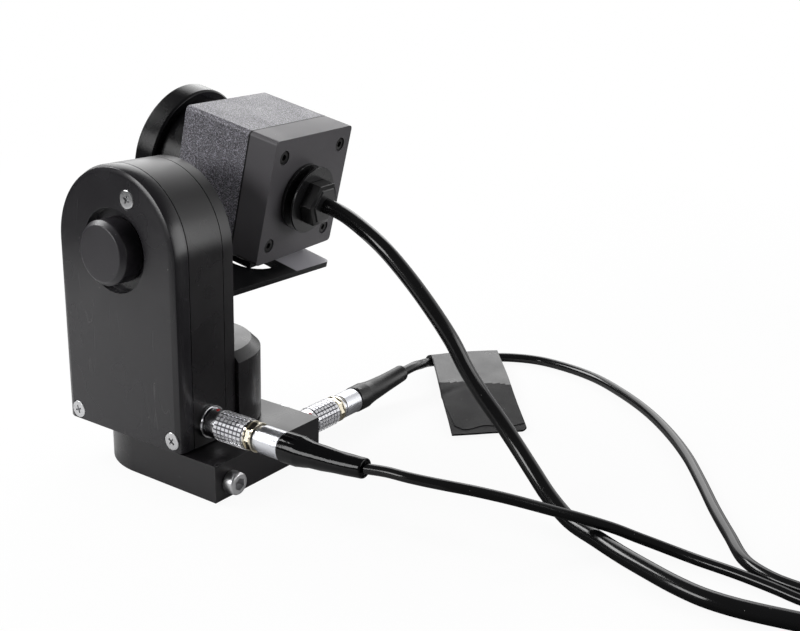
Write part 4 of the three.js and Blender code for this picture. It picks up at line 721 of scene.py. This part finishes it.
# Screws: outline, depth and narrowing of each recess, and profiles from the head down
def hexagon(radius):
    return [(radius * math.cos(i * math.pi / 3), radius * math.sin(i * math.pi / 3))
            for i in range(6)]


CROSS = ([(0.3, 0.3), (0.3, 1.3), (-0.3, 1.3), (-0.3, 0.3), (-1.3, 0.3), (-1.3, -0.3),
          (-0.3, -0.3), (-0.3, -1.3), (0.3, -1.3), (0.3, -0.3), (1.3, -0.3), (1.3, 0.3)],
         0.95, 0.72)
ROUND_SOCKET = (hexagon(2.05), 2.4, 0.96)
CAP_SOCKET = (hexagon(1.15), 1.0, 0.95)
FLAT_HEAD = [(2.35, -0.12), (2.62, -0.08), (2.8, 0.08), (2.75, 0.2), (1.5, 1.3)]
ROUND_HEAD = [(2.85, -3.9), (3.05, -3.86), (3.3, -3.68), (3.45, -3.45), (3.5, -3.15),
              (3.5, -0.25), (3.35, -0.05), (2.0, -0.05), (2.0, 7.5)]
CAP_HEAD = [(1.85, 0), (2.02, 0.06), (2.1, 0.25), (2.1, 1.65), (1.2, 1.75), (1.2, 12.5)]
SCREW_STEPS = 48


def socketed(outline, depth, narrow, profile):
    """A screw about Z: its recess, the top round it, then the turned profile downward."""
    bm = bmesh.new()
    radius, top = profile[0]
    inner = [bm.verts.new((x, y, top)) for x, y in outline]
    inner_edges = [bm.edges.new((inner[i - 1], inner[i])) for i in range(len(inner))]
    made = bmesh.ops.create_circle(bm, segments=SCREW_STEPS, radius=radius,
                                   matrix=Matrix.Translation((0, 0, top)))
    edges = list({edge for vert in made["verts"] for edge in vert.link_edges})
    bmesh.ops.bridge_loops(bm, edges=inner_edges + edges)
    grown = bmesh.ops.extrude_edge_only(bm, edges=inner_edges)["geom"]
    bmesh.ops.scale(bm, vec=(narrow, narrow, 1), verts=points_in(grown))
    bmesh.ops.translate(bm, vec=(0, 0, depth), verts=points_in(grown))
    bmesh.ops.contextual_create(bm, geom=edges_in(grown))
    for reach, height in profile[1:]:
        grown = bmesh.ops.extrude_edge_only(bm, edges=edges)["geom"]
        edges = edges_in(grown)
        bmesh.ops.scale(bm, vec=(reach / radius, reach / radius, 1), verts=points_in(grown))
        bmesh.ops.translate(bm, vec=(0, 0, height - top), verts=points_in(grown))
        radius, top = reach, height
    bmesh.ops.contextual_create(bm, geom=edges)
    bmesh.ops.recalc_face_normals(bm, faces=bm.faces)
    return bm


COVER_SCREWS = [((3.5, 87.3), 22, 24), ((-23.6, 15.3), 22, -20), ((18.5, 15.7), 8.2, 38)]
for i, ((x, z), length, spin) in enumerate(COVER_SCREWS):
    bm = socketed(*CROSS, [*FLAT_HEAD, (1.5, length)])
    bmesh.ops.rotate(bm, matrix=Matrix.Rotation(math.radians(spin), 3, "Z"), verts=bm.verts)
    add_piece(f"cover_screw_{i + 1}", bm, "pan_head", [f"front_cover_screw_{i + 1}"], STEEL,
              facing("+y", (x, HOUSE_FRONT, z)))

BASE_SCREWS = [("end_screw", "base_end_screw", "-x", (35.3, -18, 5.1)),
               ("back_screw", "base_back_screw", "-y", (17.7, 24.25, 7.3))]
for name, node, direction, place in BASE_SCREWS:
    add_piece(name, socketed(*ROUND_SOCKET, ROUND_HEAD), "base", [node], STEEL,
              facing(direction, place))

CAP_SCREW_X = CAMERA_HALF_LENGTH - 0.3
CAP_SCREWS = [(-15.5, -15), (-15.5, 15), (15.5, -15), (15.5, 15)]
for i, place in enumerate(CAP_SCREWS):
    add_piece(f"cap_socket_{i + 1}", socketed(*CAP_SOCKET, CAP_HEAD), "tilt_cradle",
              [f"cap_screw_{i + 1}"], DARK_STEEL,
              facing("-x", (CAP_SCREW_X, *place), CAMERA_FRAME))

# Pan can: a round cover with a broad chamfer, cut off where the housing stands
CAN_RADIUS = 23.7
CAN_INNER = 21.7
CAN_FRONT = -1.05
CAN_TOP = 38.0
CAN_CHAMFER = 2.9
CAN_ROOF = 3.0
CAN_WALL_TOP = 34.0
CAN_EDGE = 0.35
CAN_STEPS = 128


def make_can():
    low = min(vertex.co.z for vertex in solid("pan_cover").vertices) / MM
    rim = CAN_RADIUS - CAN_CHAMFER
    bm = turned([(0, CAN_TOP - CAN_ROOF), (rim, CAN_TOP - CAN_ROOF), (CAN_INNER, CAN_WALL_TOP),
                 (CAN_INNER, low), (CAN_RADIUS, low), (CAN_RADIUS, CAN_TOP - CAN_CHAMFER),
                 (rim, CAN_TOP), (0, CAN_TOP)], CAN_STEPS)
    cut = bmesh.ops.bisect_plane(bm, geom=[*bm.verts, *bm.edges, *bm.faces], clear_outer=True,
                                 plane_co=(0, CAN_FRONT, 0), plane_no=(0, -1, 0))
    bmesh.ops.contextual_create(bm, geom=edges_in(cut["geom_cut"]))
    bmesh.ops.recalc_face_normals(bm, faces=bm.faces)
    soften(bm, CAN_EDGE, 3, 25)
    return bm


add_piece("pan_can", make_can(), "pan_head", ["pan_cover"], BLACK_ANODISED)

# Turned pieces of the cradle: name, node, finish, place, steps with edge width, profile
ON_AXIS = facing("+y", (HOUSE_X, 0, TILT_Z))
IN_LENS = facing("+x", LENS_PLACE, CAMERA_FRAME)
IN_GLAND = facing("+x", GLAND_PLACE, CAMERA_FRAME)
TURNED = [
    ("axis_cap", "tilt_axis_cap", CAP_FINISH, ON_AXIS, (96, 0.28, 3),
     [(0, -30.4), (8.47, -30.4), (9.9, -29), (9.9, -22.75), (4.3, -22.75), (4.3, -26.25),
      (0, -26.25)]),
    ("lens_front_ring", "lens_ring", LENS_BLACK, IN_LENS, (128, 0.16),
     [(18, -35.4), (21.7, -35.4), (22.3, -34.8), (22.3, -28.3), (21.7, -27.7), (15.5, -27.7),
      (15.5, -33), (16.2, -33.3), (16.2, -33.8), (17.1, -34.1), (17.1, -34.6), (18, -35.4)]),
    ("front_glass", "lens_glass", GLASS, IN_LENS, (96,),
     [(0, -33.5), (2.6, -33.43), (5.2, -33.2), (7.9, -32.83), (10.5, -32.3), (13.1, -31.6),
      (13.1, -26.6), (0, -26.6)]),
    ("gland_flange_turned", "gland_flange", GLAND_FINISH, IN_GLAND, (96, 0.14),
     [(2.8, -3), (4.2, -3), (4.2, 0.05), (10.9, 0.05), (10.9, 1.2), (9.3, 1.35), (6.6, 1.5),
      (5.5, 2.2), (5.5, 4.2), (11.2, 4.2), (11.2, 5.0), (4.2, 5.0), (4.2, 8.2), (2.8, 8.2),
      (2.8, -3)]),
]
for name, node, material, place, steps, profile in TURNED:
    add_piece(name, turned(profile, *steps), "tilt_cradle", [node], material, place)

NUT_RADIUS = 7.8
NUT_START = 5.1
NUT_HEIGHT = 4.1
NUT_RIM = 1.7
NUT_DOME = 0.35
NUT_LIP = (0.05, 0.45)
NUT_EDGE = 0.3


def make_gland_nut():
    """Hexagonal nut with a raised face, and the lip that grips the lead."""
    bm = bmesh.new()
    bmesh.ops.create_circle(bm, cap_ends=True, segments=6, radius=NUT_RADIUS,
                            matrix=Matrix.Translation((0, 0, NUT_START)))
    grown = bmesh.ops.extrude_face_region(bm, geom=list(bm.faces))["geom"]
    bmesh.ops.translate(bm, vec=(0, 0, NUT_HEIGHT), verts=points_in(grown))
    bmesh.ops.recalc_face_normals(bm, faces=bm.faces)
    top = [face for face in bm.faces if face.normal.z > 0.9][0]
    bmesh.ops.inset_region(bm, faces=[top], thickness=NUT_RIM, depth=0.0)
    top = min((face for face in bm.faces if face.normal.z > 0.9 and len(face.verts) == 6),
              key=lambda face: face.calc_area())
    bmesh.ops.translate(bm, vec=(0, 0, NUT_DOME), verts=top.verts)
    bmesh.ops.inset_region(bm, faces=[top], thickness=NUT_LIP[0], depth=NUT_LIP[1])
    soften(bm, NUT_EDGE, 3, 25)
    return bm


add_piece("gland_hex_nut", make_gland_nut(), "tilt_cradle", ["gland_nut"], GLAND_FINISH,
          IN_GLAND)


# Push-pull plugs
RECEPTACLE = [(0, -10), (3.6, -10), (3.6, 0.05), (5.2, 0.05), (5.2, 1.2), (2.8, 1.2), (2.8, -4.8),
              (0, -4.8)]
PLUG_NUT = [(0, -4), (2.5, -4), (2.5, 1.6), (3.85, 1.6), (3.88, 21.8), (4.2, 21.85), (4.32, 22.0),
            (4.32, 29.8), (4.2, 30), (0, 30)]
GRIP_INNER = 4.2
KNURL_START = 5.6
KNURL_END = 16.6
KNURL_RADIUS = 4.5
KNURL_ROWS = 7
KNURL_AROUND = 22
KNURL_GROOVE = 0.17
PAD_SLOPE = 0.09
PAD_HEIGHT = 0.32
RING_COLLARS = [(17.02, 17.7), (19.45, 20.2)]
RING_RADIUS = 4.58
RING_CORNER = 0.08
RING_FLATS = 4.56


def make_sleeve():
    """Outer sleeve: smooth front, knurled grip of raised pads, and a step at its back."""
    rows = [(KNURL_RADIUS, KNURL_START + (KNURL_END - KNURL_START) * row / KNURL_ROWS)
            for row in range(KNURL_ROWS + 1)]
    profile = [(GRIP_INNER, 1.5), (4.45, 1.5), (4.6, 1.75), (4.6, 5.2), (4.45, 5.35), *rows,
               (KNURL_RADIUS, 16.8), (KNURL_RADIUS, 17.0), (GRIP_INNER, 17.0), (GRIP_INNER, 1.5)]
    bm = turned(profile, KNURL_AROUND)
    pads = [face for face in bm.faces
            if KNURL_START < face.calc_center_median().z < KNURL_END
            and face.calc_center_median().xy.length > (GRIP_INNER + KNURL_RADIUS) / 2]
    grooves = bmesh.ops.inset_individual(bm, faces=pads, thickness=KNURL_GROOVE, depth=0.0)
    # The faces round each pad take the chrome with painted shade
    for face in grooves["faces"]:
        face.material_index = 1
    bmesh.ops.inset_individual(bm, faces=pads, thickness=PAD_SLOPE, depth=PAD_HEIGHT)
    # The pads take the chrome with painted light
    for face in pads:
        face.material_index = 2
    return bm


def band(radius, low, high, steps, corner):
    """A ring from the grip's inner radius out to corners that are bevelled or sharp."""
    edge = [(radius - corner, low), (radius, low + corner), (radius, high - corner),
            (radius - corner, high)]
    return turned([(GRIP_INNER, low), *edge, (GRIP_INNER, high), (GRIP_INNER, low)], steps)


def make_ring():
    """Warm coloured ring behind the grip: eight flats between two round collars."""
    bm = bmesh.new()
    for low, high in RING_COLLARS:
        join_mesh(bm, band(RING_RADIUS, low, high, 64, RING_CORNER))
    (_, low), (high, _) = RING_COLLARS
    join_mesh(bm, band(RING_FLATS, low, high, 8, 0.0))
    return bm


def join_mesh(bm, other):
    """Adds one bmesh to another."""
    mesh = bpy.data.meshes.new("joined")
    other.to_mesh(mesh)
    other.free()
    bm.from_mesh(mesh)
    bpy.data.meshes.remove(mesh)


def bend_boot(bm, shift):
    """Moves points sideways by the square of their share of the boot's length."""
    for vertex in bm.verts:
        share = max(0.0, (vertex.co.z - BOOT_START) / BOOT_LENGTH)
        vertex.co += Vector(shift) * share * share


# Boot: reach and height of its profile, then the ripple of the glossy one and the rib
BOOT_SHAPE = [(4.35, 0), (4.6, 0.3), (4.62, 5.6), (4.45, 6.3), (4.1, 8.4), (3.9, 10), (3.62, 14),
              (3.35, 18), (3.18, 22), (3.08, 25), (3.02, 26.9)]
RIPPLE_SPAN = (8, 25)
RIPPLE_SHARE = 0.02
RIB_CUTS = 12
RIB_WIDTH = 1.5
RIB_DEPTH = 0.9
RIB_START = 0.6
RIB_RUN = 24.6
RIB_REACH = 4.35
RIB_FALL = 1.35
RIB_EDGE = 0.22


def make_boot(shift, glossy):
    profile = [(0, BOOT_START), *((reach, BOOT_START + height) for reach, height in BOOT_SHAPE),
               (2.85, BOOT_END), (2.45, BOOT_END), (2.3, BOOT_END - 0.6), (0, BOOT_END - 0.6)]
    bm = turned(profile, 64, 0.2, 2, 14)
    if glossy:
        for vertex in bm.verts:
            height = vertex.co.z - BOOT_START
            if RIPPLE_SPAN[0] < height < RIPPLE_SPAN[1]:
                turn = math.atan2(vertex.co.y, vertex.co.x)
                wave = math.sin(height * 1.3 + 2.4 * math.sin(2 * turn + height * 0.6))
                vertex.co.xy *= 1 + RIPPLE_SHARE * wave
    bend_boot(bm, shift)
    return bm


def make_rib(shift):
    """Moulded rib along the boot."""
    bm = bmesh.new()
    bmesh.ops.create_cube(bm, size=1)
    upright = [edge for edge in bm.edges
               if abs(edge.verts[0].co.z - edge.verts[1].co.z) > 0.5]
    bmesh.ops.subdivide_edges(bm, edges=upright, cuts=RIB_CUTS)
    for vertex in bm.verts:
        share = vertex.co.z + 0.5
        reach = RIB_REACH - RIB_FALL * min(1.0, share * 1.05)
        vertex.co = Vector((vertex.co.x * RIB_WIDTH, reach + vertex.co.y * RIB_DEPTH,
                            BOOT_START + RIB_START + share * RIB_RUN))
    soften(bm, RIB_EDGE, 3, 40)
    bend_boot(bm, shift)
    return bm


DOT_RADIUS = 0.62
DOT_FLATTENED = 0.3
DOT_PLACE = (4.6, 0, 3.4)


def make_dot():
    """Small domed alignment mark."""
    bm = bmesh.new()
    bmesh.ops.create_uvsphere(bm, u_segments=24, v_segments=12, radius=DOT_RADIUS)
    bmesh.ops.scale(bm, vec=(1, 1, DOT_FLATTENED), verts=bm.verts)
    return bm


def make_plug(prefix, direction, place, shift, dot_turn, glossy, moving, fixed):
    at = facing(direction, place)
    add_piece(f"{prefix}_socket", turned(RECEPTACLE, 64, 0.14), fixed, [f"{prefix}_receptacle"],
              CHROME, at)
    add_piece(f"{prefix}_plug_nut", turned(PLUG_NUT, 64, 0.1), fixed, [f"{prefix}_plug_core"],
              SATIN_ALUMINIUM, at)
    grip = add_piece(f"{prefix}_plug_grip", make_sleeve(), moving, [f"{prefix}_plug_sleeve"],
                     CHROME, at, smooth_angle=25)
    # Second and third finishes: the chrome with painted shade and the chrome with painted light
    grip.data.materials.append(GROOVE_SHADED_CHROME)
    grip.data.materials.append(PAD_LIT_CHROME)
    add_piece(f"{prefix}_plug_ring", make_ring(), moving, [], WARM_CHROME, at)
    add_piece(f"{prefix}_boot", make_boot(shift, glossy), fixed, [f"{prefix}_plug_boot"],
              GLOSSY_BOOT if glossy else MATT_BOOT, at)
    add_piece(f"{prefix}_grip_dot", make_dot(), moving, [], RED_MARK,
              at @ about_z(dot_turn) @ facing("+x", DOT_PLACE))


def about_z(degrees):
    return Matrix.Rotation(math.radians(degrees), 4, "Z")


# The shift of each boot, in its plug's own axes
head_shift = (-HEAD_SHIFT[2], HEAD_SHIFT[1], 0)
base_shift = (BASE_SHIFT[0], -BASE_SHIFT[2], 0)
make_plug("head", "+x", HEAD_PLACE, head_shift, 180, True, "head_lock", "pan_head")
make_plug("base", "+y", BASE_PLACE, base_shift, -60, False, "base_lock", "base")
add_piece("base_boot_rib", make_rib(base_shift), "base", [], MATT_BOOT,
          facing("+y", BASE_PLACE) @ about_z(200))

# Tape flag folded over the base lead, lying forward on the table: corners and sizes
FLAG_FROM = (22.2, 111.5)
FLAG_TO = (38.0, 135.8)
FLAG_END_LEFT = (64.9, 59.9)
FLAG_END_RIGHT = (83.4, 79.6)
FLAG_THICK = 0.6
FLAG_LOOP = BASE_LEAD + 0.55
FLAG_RUN = 60.0
FLAG_HOOK = 3.6
FLAG_LOW = 0.75
FLAG_STEPS = (60, 30)

# Its crease, as a share of the run, its small folds and waves, and where its painted shade begins
CREASE_SHARE = 0.42
CREASE_LIFT = 3.4
FOLD_SHARE = 0.52
FOLD_SLANT = 0.12
FOLD_WIDTH = 0.03
FOLD_DEPTH = 0.7
WAVE_HEIGHT = 0.3
SHADE_FROM = 0.42
SHADE_SLANT = 0.1

# Its two layers: span along and across, lift and thickness, and how their ends are cut
LOWER_LAYER = ((0.0, 1.0), (0.0, 1.0), 0.0, FLAG_THICK)
UPPER_LAYER = ((0.1, 0.95), (0.012, 0.99), FLAG_THICK - 0.02, 0.22)
NOTCH = (0.95, 0.5, 0.86)
TEAR_WAVE = 0.012
TEAR_CORNER = (0.12, 0.3)
TEAR_NARROWS = (0.75, 0.2)


def flag_place(track, reach, side, lift):
    """A point of the flag: reach runs from under the lead's far side to the free end.

    The track is the lead's line and the two indices between which the flag hangs on it.
    """
    line, low, high = track
    at = low + (high - low) * side
    index = min(len(line) - 2, int(at))
    centre = line[index].lerp(line[index + 1], at - index)
    way = (line[index + 1] - line[index]).normalized()
    front = Vector((way.y, -way.x, 0)).normalized()
    run = reach * (FLAG_RUN + FLAG_HOOK) - FLAG_HOOK
    if run < 0:
        angle = math.pi / 2 * (1 - run / FLAG_HOOK)
        place = centre + front * (FLAG_LOOP + lift) * math.cos(angle)
        place.z = centre.z + (FLAG_LOOP + lift) * math.sin(angle)
        return place
    share = run / FLAG_RUN
    end = Vector(FLAG_END_LEFT).lerp(Vector(FLAG_END_RIGHT), side)
    flat = centre.xy.lerp(end, share)
    if share < CREASE_SHARE:
        start = centre.z + FLAG_LOOP
        height = start + (CREASE_LIFT - start) * share / CREASE_SHARE
    else:
        fall = (share - CREASE_SHARE) / (1 - CREASE_SHARE)
        height = CREASE_LIFT + (FLAG_LOW - CREASE_LIFT) * fall
    past_fold = (share - FOLD_SHARE + side * FOLD_SLANT) / FOLD_WIDTH
    fold = math.exp(-past_fold ** 2) * max(0.0, 1 - side * 2.6)
    wave = WAVE_HEIGHT * math.sin(share * 9 + side * 5) * math.sin(side * 7 + 1)
    height += (wave - FOLD_DEPTH * fold) * min(1.0, share * 4) * min(1.0, (1.05 - share) * 5)
    return Vector((flat.x, flat.y, max(FLAG_LOW, height) + lift))


def notched(reach, side, along):
    """The lower layer's end, cut back at one corner."""
    start, amount, reach_from = NOTCH
    return reach - max(0.0, side - start) * amount * (reach > reach_from), side


def torn(reach, side, along):
    """The upper layer's ragged end."""
    (corner_end, corner_cut), (narrow_from, narrow_by) = TEAR_CORNER, TEAR_NARROWS
    ragged = TEAR_WAVE * math.sin(side * 11) - corner_cut * max(0.0, corner_end - side)
    return reach + along * ragged, side + narrow_by * max(0.0, along - narrow_from) * (1 - side)


def make_layer(track, reaches, sides, lift, thick, trim):
    """A closed sheet: a grid laid along the flag, extruded to its thickness."""
    sheet = bmesh.new()
    bmesh.ops.create_grid(sheet, x_segments=FLAG_STEPS[0], y_segments=FLAG_STEPS[1], size=0.5)
    reach_at = sheet.verts.layers.float.new("reach")
    side_at = sheet.verts.layers.float.new("side")
    for vertex in sheet.verts:
        along, across = vertex.co.x + 0.5, vertex.co.y + 0.5
        reach, side = trim(reaches[0] + (reaches[1] - reaches[0]) * along,
                           sides[0] + (sides[1] - sides[0]) * across, along)
        vertex[reach_at], vertex[side_at] = reach, side
        vertex.co = flag_place(track, reach, side, lift)
    grown = bmesh.ops.extrude_face_region(sheet, geom=list(sheet.faces))["geom"]
    for vertex in points_in(grown):
        vertex.co = flag_place(track, vertex[reach_at], vertex[side_at], lift + thick)
    bmesh.ops.recalc_face_normals(sheet, faces=sheet.faces)
    for face in sheet.faces:
        reach, side = (sum(vertex[layer] for vertex in face.verts) / len(face.verts)
                       for layer in (reach_at, side_at))
        # Past this line the tape takes the copy that reflects little, a painted shade
        face.material_index = int(reach > SHADE_FROM + SHADE_SLANT * side)
    return sheet


def make_flag(line):
    """One strip over the lead and forward on the table, with a shorter layer on top."""
    def nearest(place):
        return min(range(1, len(line) - 1), key=lambda i: (line[i].xy - Vector(place)).length)

    track = (line, nearest(FLAG_FROM), nearest(FLAG_TO))
    bm = make_layer(track, *LOWER_LAYER, notched)
    join_mesh(bm, make_layer(track, *UPPER_LAYER, torn))
    return bm


flag = add_piece("tape_flag", make_flag(base_line), "base", ["lead_flag"], TAPE)
# The second finish paints the shade on the far part of the tape
flag.data.materials.append(TAPE_SHADED)
keep_rest_place(flag)

# Floor, world and lamps: middle of each patch of painted light on the floor, where it is full and
# where it ends
PAINTED_LIGHT_PATCHES = [((-0.08, -0.09, 0), 0.13, 0.21), ((0.07, 0.19, 0), 0.06, 0.12)]
WHITE_REACH = (0.3, 0.6)
PATCH_LIGHT = 0.8
FLOOR_HALF = 12
FLOOR_DROP = 0.0002
FLOOR_PAINTED_SHADE = (0.1, 0.1, 0.1)
FLOOR_PALE = (0.9, 0.9, 0.9)
FLOOR_SEEN = 0.93
BACKDROP_SIDE = (0.25, 0.6)
BACKDROP_LOW = (0.8, 0.55)
WORLD_DIM = 0.1


def make_floor():
    bm = bmesh.new()
    bmesh.ops.create_grid(bm, x_segments=1, y_segments=1, size=FLOOR_HALF)
    floor = linked("floor", bm)
    floor.location.z = -FLOOR_DROP
    material, tree, shader = new_material("pale_floor")
    place = coordinates(tree)
    path = tree.nodes.new("ShaderNodeLightPath")

    # Painted light on the floor: pale in patches and dark elsewhere for all rays but the camera's,
    # and only the camera sees it pale all over
    painted_light = path.outputs["Is Camera Ray"]
    for centre, full, faded in PAINTED_LIGHT_PATCHES:
        patch = mapped(tree, vectors(tree, "DISTANCE", place, centre), full, faded,
                       PATCH_LIGHT, 0.0)
        painted_light = maths(tree, "MAXIMUM", painted_light, patch)
    feed(tree, shader, {"Base Color": blended(tree, painted_light, FLOOR_PAINTED_SHADE, FLOOR_PALE),
                        "Roughness": 0.9, "Specular IOR Level": 0.1})
    light = put(tree, "ShaderNodeEmission", {"Color": (1, 1, 1, 1), "Strength": 1.0})
    white = mapped(tree, vectors(tree, "DISTANCE", place, (0, 0, 0)), *WHITE_REACH,
                   FLOOR_SEEN, 1.0)
    seen = maths(tree, "MULTIPLY", path.outputs["Is Camera Ray"], white)
    mix = put(tree, "ShaderNodeMixShader", {0: seen, 1: shader.outputs[0], 2: light.outputs[0]})
    feed(tree, tree.nodes["Material Output"], {"Surface": mix.outputs[0]})
    floor.data.materials.append(material)


def make_world():
    """White where the camera looks, and for all else brightest at the low backdrop behind."""
    world = bpy.data.worlds.new("pale_studio")
    bpy.context.scene.world = world
    world.use_nodes = True
    tree = world.node_tree
    path = tree.nodes.new("ShaderNodeLightPath")
    parts = axes(tree, coordinates(tree, "Generated"))
    behind = mapped(tree, parts["Y"], *BACKDROP_SIDE)
    low = mapped(tree, parts["Z"], *BACKDROP_LOW)
    strength = mapped(tree, maths(tree, "MULTIPLY", behind, low), 0.0, 1.0, WORLD_DIM, 1.0)
    for ray in ("Is Camera Ray", "Is Transmission Ray"):
        strength = maths(tree, "MAXIMUM", strength, path.outputs[ray])
    feed(tree, tree.nodes["Background"], {"Color": (1, 1, 1, 1), "Strength": strength})


OBJECT_MIDDLE = (0.02, 0.02, 0.06)
LAMPS = [
    ("key_left", (-0.58, -0.12, 0.55), (0.55, 0.3), 5.5),
    ("backdrop_glow", (-0.42, 0.68, 0.52), (0.9, 0.65), 3.2),
    ("front_low", (-0.26, -0.72, 0.3), (0.4, 0.3), 2.9),
    ("right_low", (0.75, 0.3, 0.22), (0.6, 0.5), 2.6),
]


def make_lamp(name, place, size, power):
    data = bpy.data.lights.new(name, "AREA")
    data.shape = "RECTANGLE"
    data.size, data.size_y = size
    data.energy = power
    lamp = bpy.data.objects.new(name, data)
    lamp.location = place
    lamp.rotation_mode = "QUATERNION"
    lamp.rotation_quaternion = (Vector(OBJECT_MIDDLE) - Vector(place)).to_track_quat("-Z", "Y")
    lamp.visible_camera = False
    bpy.context.scene.collection.objects.link(lamp)


make_floor()
make_world()
for lamp_row in LAMPS:
    make_lamp(*lamp_row)
bpy.context.scene.view_settings.view_transform = "Standard"
